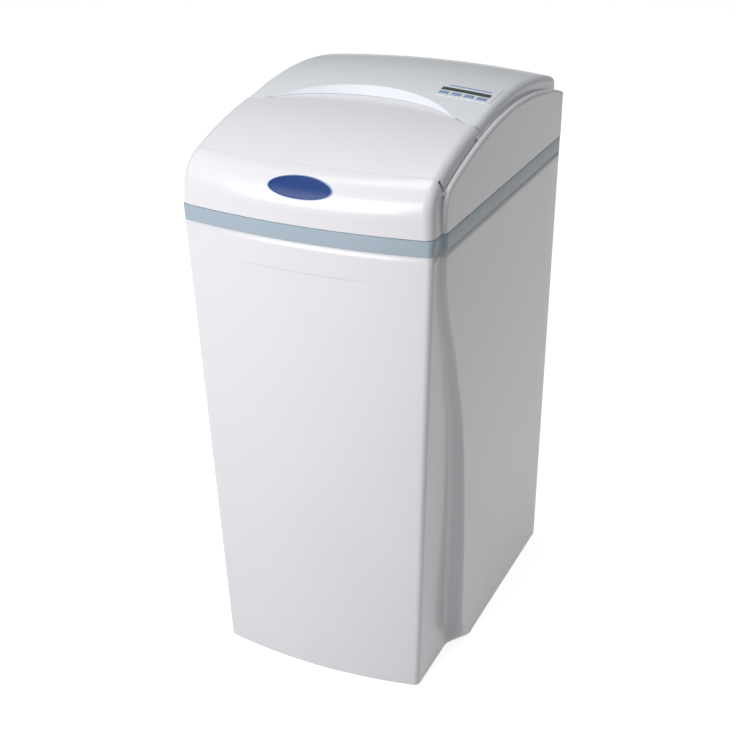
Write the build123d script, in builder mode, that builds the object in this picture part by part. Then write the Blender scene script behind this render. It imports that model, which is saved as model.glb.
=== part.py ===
from build123d import *
import math
import os

os.makedirs("parts", exist_ok=True)

# Overall sizes of the cabinet. X is right, Y is back, Z is up, and the floor is Z = 0.
half_width = 182.0
half_width_floor = 178.0
core_half = 177.0
core_half_floor = 155.0
front_y = -260.0
front_floor_y = -226.0
rear_y = 260.0
bow = 17.5
corner_radius = 15.0
corner_radius_floor = 14.0
rear_corner = 8.0
tub_top_z = 680.5
band_top_z = 703.0
wall = 4.0
tub_floor = 5.0
cover_wall = 3.0
seat_gap = 0.3

# Side cheeks: the S-shaped front edge at the outer face, and at a plane inside the tub.
cheek_inner_x = 150.0
cheek_outer_x = 186.0
cheek_top_y = -204.0
cheek_straight_z = 650.0
cheek_low_y = -96.0
cheek_low_z = 150.0
cheek_foot_radius = 58.0
cheek_lead_top = 32.0
cheek_lead_low = 26.0

# Arched rim of the cheeks above the trim band.
rim_apex_y = 50.0
rim_apex_z = 802.0
rim_front_radius = 715.0
rim_rear_radius = 680.0
rim_nose_radius = 30.0
rim_front_y = -212.0
rim_thickness = 6.2
rim_edge_radius = 5.6

# Lid and fascia block.
lid_radius = 570.0
lid_apex_y = -10.0
lid_apex_z = 807.7
nose_radius = 50.0
block_draft = 0.045
block_edge_radius = 15.0
seam_y = -218.7
seam_bow_radius = 1921.0
seam_gap = 0.9
lid_skirt = 17.0
lid_corner_skirt = 11.0

# Crescent step between the lid and the deck.
crescent_radius = 210.0
crescent_y = -13.0
riser_lean = 8.0
riser_height = 13.4
crescent_centre_y = crescent_y - crescent_radius
crescent_gap = 2.0
riser_gap = 0.4

# Deck behind the lid.
deck_half = 171.0
deck_apex_y = 70.0
deck_apex_z = 825.5
deck_radius = 640.0
deck_crown_radius = 1700.0
deck_side_radius = 11.0
deck_corner_radius = 14.0
deck_rear_y = rear_y - cover_wall - seat_gap
deck_front_y = -83.0

# Lid hinge.
hinge_y = -83.0
hinge_depth = 7.5
ear_radius = 5.5
pin_radius = 2.5
pin_gap = 0.05
ear_inner_x = 145.0
ear_width = 6.5
ear_gap = 0.5
lug_width = 4.5
lug_radius = 4.0
lid_rear_lead = 5.0
barrel_clear_radius = 10.5

# Web of the cover under the front edge of the deck, beside each hinge.
web_lead = 11.0
web_thickness = 6.0
web_reach = 12.0

# Gutter beside the lid.
gutter_inner_x = 155.0
gutter_depth = 18.0
gutter_floor = 3.0
gutter_lead = 4.0
ledge_inner_x = 165.0
ledge_depth = 5.5

# Badge on the fascia.
badge_width = 90.0
badge_height = 24.5
badge_z = 748.8
badge_thickness = 1.5

# Display and keys on the deck.
panel_x = 119.0
panel_y = 20.0
panel_width = 82.0
panel_depth = 60.0
panel_corner = 5.0
panel_gap = 0.2
panel_stand = 0.6
panel_rim = 3.5
window_width = 70.0
window_depth = 12.0
window_lead = -5.0
window_thickness = 1.6
key_count = 4
key_pitch = 18.0
key_width = 13.0
key_depth = 8.0
key_lead = -20.0
key_gap = 0.4
key_stand = 1.2
key_travel = 1.0
key_stem_radius = 2.0
switch_gap = key_travel + 0.3
board_z = 800.0
switch_height = 3.5
switch_size = 6.0
key_flange = 1.4
board_thickness = 1.6
housing_wall = 2.0
housing_base_z = 790.0
post_radius = 3.0
lobe_radius = 5.5
lobe_thickness = 3.0
lobe_z = 800.0
controller_screw_radius = 1.5

# Screws that hold the cabinet, the band and the cover together.
lug_thickness = 12.0
lug_reach = 22.0
lug_half = 8.0
lug_rows = (-120.0, 200.0)
cover_boss_height = 26.0
cover_screw_radius = 2.0
cover_screw_gap = 0.25
screw_head_ratio = 1.9
screw_head_height = 2.4

# Notch in the rear wall for the pipes.
notch_half = 75.0
notch_z = 555.0

# Media tank.
tank_y = 110.0
tank_radius = 115.0
tank_wall = 4.0
tank_base_z = 12.0
tank_shoulder_low = 60.0
tank_shoulder_high = 480.0
tank_neck_z = 548.0
neck_radius = 36.0
neck_bore = 28.0
boot_radius = 122.0
boot_height = 80.0
riser_radius = 13.5
riser_wall = 1.5
riser_base_z = 26.0
riser_top_z = 556.0
strainer_radius = 22.0
strainer_height = 36.0
screen_height = 40.0
gravel_top_z = 90.0
media_top_z = 330.0
media_gap = 0.3

# Valve body on the tank.
valve_base_z = 548.0
collar_radius = 46.0
collar_height = 16.0
spigot_depth = 16.0
oring_radius = 2.0
column_half = 38.0
column_depth = 56.0
bore_z = 615.0
bore_radius = 16.0
barrel_radius = 25.0
barrel_left_x = -62.0
barrel_right_x = 62.0
port_x = 32.0
port_z = 590.0
port_radius = 16.0
port_bore = 10.0
port_end_y = 185.0
plug_thickness = 4.0

# Piston and its seals.
piston_radius = 10.8
piston_length = 56.0
piston_start_x = -50.0
piston_groove = 2.5
spacer_bore = 11.3
seal_gap = 0.05
seal_width = 3.0
seal_pitch = 20.0
seal_count = 5
rod_radius = 5.0
rod_gap = 0.05
rod_end_x = 86.0

# Drive train.
gear_module = 1.25
pressure_angle = 25.0
backlash = 0.35
drive_teeth = 56
small_teeth = 14
large_teeth = 42
pinion_teeth = 12
first_mesh_x = 72.0
second_mesh_x = 82.0
drive_face = 8.0
second_face = 6.0
cap_flange_radius = 26.0
cap_boss_radius = 9.0
bracket_x = 66.0
bracket_thickness = 3.0
axle_radius = 2.5
axle_gap = 0.05
motor_radius = 16.0
motor_length = 30.0
shaft_radius = 1.5
bracket_screw_radius = 1.5
bracket_screw_circle = 20.5
screw_depth = 8.0

# Air draw: injector, air tube and check valve.
injector_x = -20.0
injector_radius = 12.0
injector_front_y = 64.0
injector_cap_radius = 14.0
injector_cap_depth = 7.0
air_tube_radius = 4.75
air_tube_wall = 1.2
air_turn_radius = 12.0
air_valve_x = -58.0
air_valve_z = 640.0
air_valve_height = 42.0
air_valve_radius = 10.0

# Drain.
drain_x = -100.0
drain_z = 615.0
drain_radius = 9.0
drain_bore = 5.0
drain_turn = 16.0
drain_elbow_end = 140.0
barb_radius = 6.35
drain_tube_wall = 1.6
drain_end_y = 290.0
fitting_flange = 14.0

# Bypass valve behind the notch.
bypass_start_y = 185.0
bypass_end_y = 292.0
bypass_tube_radius = port_radius
rotor_y = 262.0
rotor_radius = 13.0
rotor_gap = 0.05
rotor_housing = 18.0
rotor_low_z = 570.0
rotor_high_z = 612.0
rotor_floor = 4.0
cross_radius = 12.0
cross_bore = 8.0
handle_length = 34.0
handle_width = 9.0
handle_thickness = 8.0
handle_gap = 0.5
clip_thickness = 2.0
clip_radius = 18.0
stub_radius = 11.1
stub_seat_radius = 10.6
stub_bore = 9.5
stub_end_y = 322.0
stub_depth = 11.0

# Power inlet socket on the rear wall.
socket_x = 120.0
socket_z = 620.0
socket_radius = 6.0
socket_flange = 9.0
socket_length = 16.0
socket_bore = 2.9

BOX_SPAN = 1000.0

# Values that follow from the sizes above.
lid_centre_z = lid_apex_z - lid_radius
hinge_z = lid_centre_z + math.sqrt(lid_radius ** 2 - (hinge_y - lid_apex_y) ** 2) - hinge_depth
seam_centre_y = seam_y + seam_bow_radius
rim_inner_x = half_width - rim_thickness
rim_front_z = rim_apex_z - rim_front_radius
rim_rear_z = rim_apex_z - rim_rear_radius
deck_centre_z = deck_apex_z - deck_radius
ear_outer_x = ear_inner_x + ear_width
lug_inner_x = ear_outer_x + ear_gap
lug_outer_x = lug_inner_x + lug_width
gutter_radius = lid_radius - gutter_depth
ledge_radius = rim_rear_radius - ledge_depth
deck_rear_z = 762.0


def mirrored(shape):
    """The same shape on the other side of the centre plane."""
    return mirror(shape, about=Plane.YZ)


def core_outline(half, front, corner, inset):
    """Rounded rectangle with a bowed front edge, drawn on XY."""
    with BuildSketch() as sketch:
        with BuildLine():
            curve = ThreePointArc((-half + inset, front + bow + inset), (0, front + inset),
                                  (half - inset, front + bow + inset))
            Polyline(curve @ 1, (half - inset, rear_y - inset), (-half + inset, rear_y - inset), curve @ 0)
        make_face()
        fillet(sketch.vertices().group_by(Axis.Y)[0], corner - inset)
        fillet(sketch.vertices().group_by(Axis.Y)[-1], rear_corner - inset)
    return sketch.sketch


def slab(low, high):
    """A wide slice of space between two heights."""
    with BuildPart(Plane.XY.offset(low)) as part:
        Box(BOX_SPAN, BOX_SPAN, high - low, align=(Align.CENTER, Align.CENTER, Align.MIN))
    return part.part


def core_block(inset):
    """Tapered body without its cheeks, from the floor to the top of the trim band."""
    low = core_outline(core_half_floor, front_floor_y, corner_radius_floor, inset)
    high = core_outline(core_half, front_y, corner_radius, inset)
    with BuildPart() as part:
        loft(sections=[low, Plane.XY.offset(band_top_z) * high], ruled=True)
    return part.part


def cheek_profile(lead_top, lead_low, foot_radius, x, inset):
    """Side view of a cheek at one X, with its S-shaped front edge moved back by the inset."""
    top_y = cheek_top_y - lead_top + inset
    low_y = cheek_low_y - lead_low + inset
    rise = cheek_straight_z - cheek_low_z
    with BuildSketch(Plane.YZ.offset(x)) as sketch:
        with BuildLine():
            Line((rear_y - inset, band_top_z), (top_y, band_top_z))
            Line((top_y, band_top_z), (top_y, cheek_straight_z))
            Spline((top_y, cheek_straight_z),
                   (top_y + (low_y - top_y) * 0.46, cheek_straight_z - rise * 0.31),
                   (top_y + (low_y - top_y) * 0.80, cheek_straight_z - rise * 0.55),
                   (low_y, cheek_low_z), tangents=[(0, -1), (0, -1)])
            Line((low_y, cheek_low_z), (low_y, foot_radius))
            ThreePointArc((low_y, foot_radius),
                          (low_y + foot_radius * (1 - math.sqrt(0.5)), foot_radius * (1 - math.sqrt(0.5))),
                          (low_y + foot_radius, 0))
            Line((low_y + foot_radius, 0), (rear_y - inset, 0))
            Line((rear_y - inset, 0), (rear_y - inset, band_top_z))
        make_face()
    return sketch.sketch


def cheek_block(inset):
    """Both cheeks, from the floor to the top of the trim band."""
    inner = cheek_profile(cheek_lead_top, cheek_lead_low, cheek_foot_radius * 0.3, cheek_inner_x - 20.0,
                          inset)
    outer = cheek_profile(0.0, 0.0, cheek_foot_radius, cheek_outer_x, inset)
    with BuildSketch() as low:
        Rectangle(2 * (half_width_floor - inset), BOX_SPAN)
    with BuildSketch(Plane.XY.offset(band_top_z)) as high:
        Rectangle(2 * (half_width - inset), BOX_SPAN)
    with BuildPart() as envelope:
        loft(sections=[low.sketch, high.sketch], ruled=True)
    with BuildPart() as part:
        loft(sections=[inner, outer], ruled=True)
        add(envelope.part, mode=Mode.INTERSECT)
        mirror(about=Plane.YZ)
    return part.part


def body_block(inset, low, high):
    """Core and cheeks together between two heights."""
    with BuildPart() as part:
        add(core_block(inset))
        add(cheek_block(inset))
        add(slab(low, high), mode=Mode.INTERSECT)
    return part.part


def block(x_low, x_high, y_low, y_high, z_low, z_high):
    """A plain box between six limits."""
    with BuildPart() as part:
        with Locations(((x_low + x_high) / 2, (y_low + y_high) / 2, (z_low + z_high) / 2)):
            Box(x_high - x_low, y_high - y_low, z_high - z_low)
    return part.part


def rod_x(y, z, radius, x_low, x_high):
    """A cylinder along X."""
    with BuildPart(Plane.YZ.offset(x_low)) as part:
        with Locations((y, z)):
            Cylinder(radius, x_high - x_low, align=(Align.CENTER, Align.CENTER, Align.MIN))
    return part.part


def rod_y(x, z, radius, y_low, y_high):
    """A cylinder along Y."""
    with BuildPart(Plane.XZ.offset(-y_high)) as part:
        with Locations((x, z)):
            Cylinder(radius, y_high - y_low, align=(Align.CENTER, Align.CENTER, Align.MIN))
    return part.part


def rod_z(x, y, radius, z_low, z_high):
    """A cylinder along Z."""
    with BuildPart(Plane.XY.offset(z_low)) as part:
        with Locations((x, y)):
            Cylinder(radius, z_high - z_low, align=(Align.CENTER, Align.CENTER, Align.MIN))
    return part.part


def ring_x(y, z, outer_radius, inner_radius, x_low, x_high, y_low, y_high):
    """A strip of a large arched shell about a line along X, above that line."""
    with BuildPart() as part:
        add(rod_x(y, z, outer_radius, x_low, x_high))
        add(rod_x(y, z, inner_radius, x_low, x_high), mode=Mode.SUBTRACT)
        add(block(x_low, x_high, y_low, y_high, z, z + outer_radius), mode=Mode.INTERSECT)
    return part.part


def turned(points, x, y):
    """A body turned about a vertical line, from its radius and height points."""
    with BuildPart() as part:
        with BuildSketch(Plane(origin=(x, y, 0), x_dir=(1, 0, 0), z_dir=(0, -1, 0))):
            with BuildLine():
                Polyline(*points, close=True)
            make_face()
        revolve(axis=Axis((x, y, 0), (0, 0, 1)))
    return part.part


def block_section(x, inset):
    """Side view of the fascia and the lid surface at one X."""
    front = front_y + bow * (x / core_half) ** 2
    nose_y = front + nose_radius
    nose_z = lid_centre_z + math.sqrt((lid_radius - nose_radius) ** 2 - (nose_y - lid_apex_y) ** 2)
    angle = math.atan2(nose_z - lid_centre_z, nose_y - lid_apex_y)
    middle = (angle + math.pi) / 2
    radius = nose_radius - inset
    top = lid_radius - inset
    rear = deck_apex_y
    rear_angle = math.acos((rear - lid_apex_y) / top)
    crown = (angle + rear_angle) / 2
    meet = (lid_apex_y + top * math.cos(angle), lid_centre_z + top * math.sin(angle))
    with BuildSketch(Plane.YZ.offset(x)) as sketch:
        with BuildLine():
            Line((front + inset, band_top_z), (front + inset, nose_z))
            ThreePointArc((front + inset, nose_z),
                          (nose_y + radius * math.cos(middle), nose_z + radius * math.sin(middle)), meet)
            ThreePointArc(meet, (lid_apex_y + top * math.cos(crown), lid_centre_z + top * math.sin(crown)),
                          (rear, lid_centre_z + top * math.sin(rear_angle)))
            Line((rear, lid_centre_z + top * math.sin(rear_angle)), (rear, band_top_z))
            Line((rear, band_top_z), (front + inset, band_top_z))
        make_face()
    return sketch.sketch


def lid_block(inset):
    """Solid under the fascia and the lid surface, with leaning ends and rounded end edges."""
    stations = [-192.0, -128.0, -64.0, 0.0, 64.0, 128.0, 192.0]
    height = 140.0
    with BuildSketch(Plane.XZ) as ends:
        with BuildLine():
            Polyline((-core_half + inset, band_top_z), (core_half - inset, band_top_z),
                     (core_half - inset - block_draft * height, band_top_z + height),
                     (-core_half + inset + block_draft * height, band_top_z + height), close=True)
        make_face()
    with BuildPart() as wedge:
        extrude(ends.sketch, amount=BOX_SPAN / 2, both=True)
    with BuildPart() as part:
        loft(sections=[block_section(x, inset) for x in stations])
        add(wedge.part, mode=Mode.INTERSECT)
        for face in (part.faces().sort_by(Axis.X)[0], part.faces().sort_by(Axis.X)[-1]):
            edges = [edge for edge in face.edges()
                     if edge.center().Z > band_top_z + 1 and edge.center().Y < deck_apex_y - 1]
            fillet(edges, block_edge_radius - inset)
    return part.part


def seam_disc(radius):
    """Everything behind the seam between the fascia and the lid, to a given radius."""
    return rod_z(0, seam_centre_y, radius, band_top_z - 20, deck_apex_z + 20)


def crescent_cone(extra):
    """Space in front of the crescent step, which leans back as it rises."""
    foot_z = lid_apex_z
    slope = riser_lean / riser_height
    low = crescent_radius - riser_lean / 2 + extra - slope * 60
    high = crescent_radius - riser_lean / 2 + extra + slope * 60
    with BuildPart(Plane.XY.offset(foot_z)) as part:
        with Locations((0, crescent_centre_y)):
            Cone(low, high, 120)
    return part.part


def deck_block(inset):
    """Solid under the deck's surface: an arched strip, crowned across, with rounded edges."""
    half = deck_half - inset
    top = deck_apex_z - inset
    low = deck_apex_z - 95
    drop = half ** 2 / (2 * deck_crown_radius)
    with BuildSketch(Plane(origin=(0, deck_apex_y, 0), x_dir=(1, 0, 0), z_dir=(0, -1, 0))) as section:
        with BuildLine():
            crown = ThreePointArc((-half, top - drop), (0, top), (half, top - drop))
            Polyline(crown @ 1, (half, low), (-half, low), crown @ 0)
        make_face()
    with BuildPart() as part:
        revolve(section.sketch, axis=Axis((0, deck_apex_y, deck_centre_z), (1, 0, 0)), revolution_arc=360)
        add(block(-half, half, deck_front_y - 20, deck_rear_y - inset, low - 40, top + 20),
            mode=Mode.INTERSECT)
        corners = [edge for edge in part.edges().filter_by(Axis.Z) if edge.center().Y > deck_rear_y - inset - 1]
        fillet(corners, deck_corner_radius - inset)
        outline = [edge for edge in part.edges() if edge.center().Z > low + 15
                   and edge.center().Y > deck_front_y - 19
                   and not edge.is_interior and edge.geom_type != GeomType.LINE]
        fillet(outline, deck_side_radius - inset)
    return part.part


def save(part, name):
    """Label one finished piece and write it out."""
    part.label = name
    export_step(part, "parts/" + name + ".step")


# Shapes shared by several pieces.
lid_outer = lid_block(0.0)
lid_inner = lid_block(cover_wall)
deck_outer = deck_block(0.0)
deck_inner = deck_block(cover_wall)
rear_notch = block(-notch_half, notch_half, rear_y - 30, rear_y + 10, notch_z, tub_top_z + 1)
lug_spots = [(side * (half_width - wall - lug_reach / 2), y) for side in (-1, 1) for y in lug_rows]


def side_lugs(z_low, z_high, hole_radius):
    """Four lugs inside the side walls, each with a screw hole."""
    with BuildPart() as part:
        with BuildSketch(Plane.XY.offset(z_low)):
            with Locations(*lug_spots):
                Rectangle(lug_reach + wall, 2 * lug_half)
            with Locations(*lug_spots):
                Circle(hole_radius, mode=Mode.SUBTRACT)
        extrude(amount=z_high - z_low)
    return part.part


# Cabinet tub, open at the top, with a notch for the pipes and a hole for the drain.
with BuildPart() as cabinet:
    add(body_block(0.0, 0.0, tub_top_z))
    add(body_block(wall, tub_floor, tub_top_z + 5), mode=Mode.SUBTRACT)
    add(side_lugs(tub_top_z - lug_thickness, tub_top_z, cover_screw_radius + cover_screw_gap))
    add(body_block(0.0, 0.0, tub_top_z), mode=Mode.INTERSECT)
    add(rear_notch, mode=Mode.SUBTRACT)
    add(rod_y(drain_x, drain_z, barb_radius + 1.65, rear_y - 20, rear_y + 5), mode=Mode.SUBTRACT)
    add(rod_y(socket_x, socket_z, socket_radius, rear_y - 20, rear_y + 5), mode=Mode.SUBTRACT)
save(cabinet.part, "cabinet")

# Trim band between the tub and the cover.
with BuildPart() as trim_band:
    add(body_block(0.0, tub_top_z, band_top_z))
    add(body_block(wall, tub_top_z - 5, band_top_z + 5), mode=Mode.SUBTRACT)
    add(side_lugs(tub_top_z, band_top_z, cover_screw_radius + cover_screw_gap))
    add(body_block(0.0, tub_top_z, band_top_z), mode=Mode.INTERSECT)
save(trim_band.part, "trim_band")


def rim_plate():
    """Arched plate that stands above one cheek, on the right."""
    span = rim_front_radius - rim_nose_radius
    nose_y = rim_front_y + rim_nose_radius
    nose_z = rim_front_z + math.sqrt(span ** 2 - (rim_apex_y - nose_y) ** 2)
    angle = math.atan2(nose_z - rim_front_z, nose_y - rim_apex_y)
    middle = (angle + math.pi) / 2
    meet = (rim_apex_y + rim_front_radius * math.cos(angle),
            rim_front_z + rim_front_radius * math.sin(angle))
    crown = (angle + math.pi / 2) / 2
    rise = (rim_apex_y + rim_front_radius * math.cos(crown),
            rim_front_z + rim_front_radius * math.sin(crown))
    tail_z = rim_rear_z + math.sqrt(rim_rear_radius ** 2 - (rear_y - rim_apex_y) ** 2)
    half_z = rim_rear_z + math.sqrt(rim_rear_radius ** 2 - ((rear_y - rim_apex_y) / 2) ** 2)
    with BuildSketch(Plane.YZ.offset(rim_inner_x)) as outline:
        with BuildLine():
            Line((rim_front_y, band_top_z), (rim_front_y, nose_z))
            ThreePointArc((rim_front_y, nose_z),
                          (nose_y + rim_nose_radius * math.cos(middle),
                           nose_z + rim_nose_radius * math.sin(middle)),
                          meet)
            ThreePointArc(meet, rise, (rim_apex_y, rim_apex_z))
            ThreePointArc((rim_apex_y, rim_apex_z), ((rear_y + rim_apex_y) / 2, half_z), (rear_y, tail_z))
            Polyline((rear_y, tail_z), (rear_y, band_top_z), (rim_front_y, band_top_z))
        make_face()
        fillet([corner for corner in outline.vertices() if abs(corner.Z - tail_z) < 0.01], rear_corner)
    with BuildPart() as part:
        extrude(outline.sketch, amount=rim_thickness)
        outer = part.faces().sort_by(Axis.X)[-1]
        edges = [edge for edge in outer.edges() if edge.center().Z > band_top_z + 1]
        fillet(edges, rim_edge_radius)
    return part.part


# Top cover: fascia, cheek rims, the gutters beside the lid, the ledge under the deck and the rear wall.
with BuildPart() as right_side:
    add(rim_plate())
    add(ring_x(lid_apex_y, lid_centre_z, gutter_radius, gutter_radius - gutter_floor,
               gutter_inner_x, rim_inner_x + 1, rim_front_y + gutter_lead, hinge_y + 23))
    add(ring_x(lid_apex_y, lid_centre_z, lid_radius - cover_wall - seat_gap, gutter_radius - 1,
               gutter_inner_x, gutter_inner_x + 3, seam_y + 3, hinge_y - 14))
    add(ring_x(rim_apex_y, rim_rear_z, ledge_radius, ledge_radius - gutter_floor,
               ledge_inner_x, rim_inner_x + 1, hinge_y + 21, rear_y - 1))
    add(ring_x(lid_apex_y, lid_centre_z, gutter_radius, gutter_radius - gutter_floor,
               lug_inner_x - 2, gutter_inner_x + 1, hinge_y - 14, hinge_y + 13))
    add(rod_x(hinge_y, hinge_z, lug_radius, lug_inner_x, lug_outer_x))
    add(block(lug_inner_x, lug_outer_x, hinge_y - lug_radius, hinge_y + lug_radius, hinge_z - 11.5,
              hinge_z))
    add(rod_x(hinge_y, hinge_z, pin_radius, lug_inner_x - 1, lug_outer_x + 1), mode=Mode.SUBTRACT)
right_half = right_side.part
left_half = mirrored(right_half)

with BuildPart() as cover_flange:
    add(lid_outer)
    add(seam_disc(seam_bow_radius + cover_wall), mode=Mode.INTERSECT)
    add(seam_disc(seam_bow_radius), mode=Mode.SUBTRACT)
    add(rod_x(lid_apex_y, lid_centre_z, gutter_radius - gutter_floor, -half_width, half_width),
        mode=Mode.SUBTRACT)

with BuildPart() as lid_seat:
    add(ring_x(lid_apex_y, lid_centre_z, lid_radius - cover_wall - seat_gap,
               lid_radius - 2 * cover_wall - seat_gap, -gutter_inner_x, gutter_inner_x, seam_y - 20, 0))
    add(seam_disc(seam_bow_radius + 1), mode=Mode.INTERSECT)
    add(seam_disc(seam_bow_radius - 10), mode=Mode.SUBTRACT)

with BuildPart() as cover_bosses:
    with BuildSketch(Plane.XY.offset(band_top_z)):
        with Locations(*lug_spots):
            Rectangle(lug_reach - 2, 2 * lug_half)
        with Locations(*lug_spots):
            Circle(cover_screw_radius, mode=Mode.SUBTRACT)
    extrude(amount=cover_boss_height)

# The fascia's end walls run on behind the cheek rims, so that no slit is left between them.
with BuildPart() as fascia_returns:
    add(lid_outer)
    add(lid_inner, mode=Mode.SUBTRACT)
    add(rod_x(lid_apex_y, lid_centre_z, gutter_radius, -half_width, half_width), mode=Mode.INTERSECT)
    add(block(-half_width, half_width, seam_y, rim_front_y + rim_thickness, band_top_z, deck_apex_z),
        mode=Mode.INTERSECT)

# The front ends of the gutters stay inside the fascia's end walls.
with BuildPart() as gutter_noses:
    for side in (-1, 1):
        add(ring_x(lid_apex_y, lid_centre_z, gutter_radius, gutter_radius - gutter_floor,
                   min(side * gutter_inner_x, side * half_width), max(side * gutter_inner_x, side * half_width),
                   seam_y, rim_front_y + gutter_lead + 1))
    add(lid_outer, mode=Mode.INTERSECT)

with BuildPart() as hinge_webs:
    for side in (-1, 1):
        add(block(min(side * (gutter_inner_x + 2), side * (gutter_inner_x + 2 + web_reach)),
                  max(side * (gutter_inner_x + 2), side * (gutter_inner_x + 2 + web_reach)),
                  hinge_y + web_lead, hinge_y + web_lead + web_thickness,
                  hinge_z - gutter_depth, deck_apex_z))
    add(deck_block(cover_wall + seat_gap), mode=Mode.INTERSECT)

with BuildPart() as top_cover:
    add(lid_outer)
    add(lid_inner, mode=Mode.SUBTRACT)
    add(seam_disc(seam_bow_radius), mode=Mode.SUBTRACT)
    add(cover_flange.part)
    add(lid_seat.part)
    add(right_half)
    add(left_half)
    add(block(-rim_inner_x - 1, rim_inner_x + 1, rear_y - cover_wall, rear_y, band_top_z, deck_rear_z))
    add(ring_x(rim_apex_y, rim_rear_z, ledge_radius, ledge_radius - gutter_floor,
               -ledge_inner_x - 1, ledge_inner_x + 1, rear_y - 14, rear_y - 1))
    add(cover_bosses.part)
    add(fascia_returns.part)
    add(gutter_noses.part)
    add(hinge_webs.part)
save(top_cover.part, "top_cover")

# Lid: the front of the top surface, back to the crescent, with side skirts and hinge ears.
with BuildPart() as lid_plan:
    add(rod_z(0, crescent_centre_y, crescent_radius - crescent_gap, band_top_z, deck_apex_z + 20))
    add(block(-half_width, half_width, seam_y - 20, hinge_y + lid_rear_lead, band_top_z, deck_apex_z + 20))
    add(seam_disc(seam_bow_radius - seam_gap), mode=Mode.INTERSECT)

with BuildPart() as lid_far:
    add(rod_x(lid_apex_y, lid_centre_z, lid_radius - 1, -half_width, half_width))
    add(block(-half_width, half_width, seam_y + 14, hinge_y - 12, band_top_z, deck_apex_z),
        mode=Mode.INTERSECT)

with BuildPart() as lid_sides:
    add(lid_outer)
    add(rod_x(lid_apex_y, lid_centre_z, lid_radius - lid_skirt, -half_width, half_width),
        mode=Mode.SUBTRACT)
    add(lid_far.part, mode=Mode.INTERSECT)
    add(lid_inner, mode=Mode.SUBTRACT)

# Beside the hinges only the upper part of the side wall runs on to the lid's rear edge.
with BuildPart() as lid_corners:
    add(lid_outer)
    add(rod_x(lid_apex_y, lid_centre_z, lid_radius - lid_corner_skirt, -half_width, half_width),
        mode=Mode.SUBTRACT)
    add(block(-half_width, half_width, hinge_y - 13, hinge_y + lid_rear_lead, band_top_z, deck_apex_z),
        mode=Mode.INTERSECT)
    add(lid_inner, mode=Mode.SUBTRACT)

with BuildPart() as lid_extent:
    add(lid_plan.part)
    add(rod_x(lid_apex_y, lid_centre_z, lid_radius - cover_wall - 0.5, -half_width, half_width),
        mode=Mode.SUBTRACT)
    add(lid_sides.part)
    add(lid_corners.part)

with BuildPart() as lid_ears:
    for side in (-1, 1):
        low = min(side * ear_inner_x, side * ear_outer_x)
        high = max(side * ear_inner_x, side * ear_outer_x)
        add(rod_x(hinge_y, hinge_z, ear_radius, low, high))
        add(block(low, high, hinge_y - ear_radius, hinge_y + ear_radius, hinge_z,
                  hinge_z + hinge_depth - 1))
    add(rod_x(lid_apex_y, lid_centre_z, lid_radius - 1, -half_width, half_width), mode=Mode.INTERSECT)
    add(rod_x(hinge_y, hinge_z, pin_radius + pin_gap, -half_width, half_width), mode=Mode.SUBTRACT)

with BuildPart() as lid:
    add(lid_outer)
    add(lid_inner, mode=Mode.SUBTRACT)
    add(lid_plan.part, mode=Mode.INTERSECT)
    add(lid_extent.part, mode=Mode.INTERSECT)
    add(lid_ears.part)
save(lid.part, "lid")

# Deck behind the lid, with the leaning crescent step at its front.
with BuildPart() as lid_room_plan:
    add(rod_z(0, crescent_centre_y, crescent_radius, band_top_z - 60, deck_apex_z + 20))
    add(block(-half_width, half_width, seam_y - 40, hinge_y + lid_rear_lead, band_top_z - 60,
              deck_apex_z + 20))

with BuildPart() as lid_room:
    add(rod_x(lid_apex_y, lid_centre_z, lid_radius + riser_gap, -half_width, half_width))
    add(lid_room_plan.part, mode=Mode.INTERSECT)

with BuildPart() as deck_riser:
    add(deck_outer)
    add(crescent_cone(cover_wall * 1.2), mode=Mode.INTERSECT)
    add(rod_x(lid_apex_y, lid_centre_z, lid_radius + riser_gap, -half_width, half_width),
        mode=Mode.SUBTRACT)

with BuildPart() as deck_shell:
    add(deck_outer)
    add(deck_inner, mode=Mode.SUBTRACT)
    add(deck_riser.part)
    add(crescent_cone(0.0), mode=Mode.SUBTRACT)
    add(lid_room.part, mode=Mode.SUBTRACT)
    add(rod_x(hinge_y, hinge_z, barrel_clear_radius, -half_width, half_width), mode=Mode.SUBTRACT)
    add(block(-half_width, half_width, seam_y, hinge_y + 2, band_top_z, deck_apex_z + 20),
        mode=Mode.SUBTRACT)
    add(rod_x(rim_apex_y, rim_rear_z, ledge_radius, -half_width, half_width), mode=Mode.SUBTRACT)
    add(rod_x(lid_apex_y, lid_centre_z, gutter_radius, -half_width, half_width), mode=Mode.SUBTRACT)


def plan_prism(x, y, width, depth, corner, z_low, z_high):
    """An upright rounded rectangular prism."""
    with BuildPart() as part:
        with BuildSketch(Plane.XY.offset(z_low)):
            with Locations((x, y)):
                RectangleRounded(width, depth, corner)
        extrude(amount=z_high - z_low)
    return part.part


def screw_x(y, z, radius, x_tip, x_seat):
    """A screw along X with its round head beyond the seat."""
    with BuildPart() as part:
        add(rod_x(y, z, radius, x_tip, x_seat))
        add(rod_x(y, z, radius * screw_head_ratio, x_seat, x_seat + screw_head_height))
        add(rod_x(y, z, radius * 0.8, x_seat + screw_head_height / 2, x_seat + screw_head_height),
            mode=Mode.SUBTRACT)
    return part.part


def screw_up(x, y, radius, z_seat, z_tip):
    """A screw that points up, with its round head below the seat."""
    with BuildPart() as part:
        add(rod_z(x, y, radius, z_seat, z_tip))
        add(rod_z(x, y, radius * screw_head_ratio, z_seat - screw_head_height, z_seat))
        add(rod_z(x, y, radius * 0.8, z_seat - screw_head_height, z_seat - screw_head_height / 2),
            mode=Mode.SUBTRACT)
    return part.part


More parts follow.
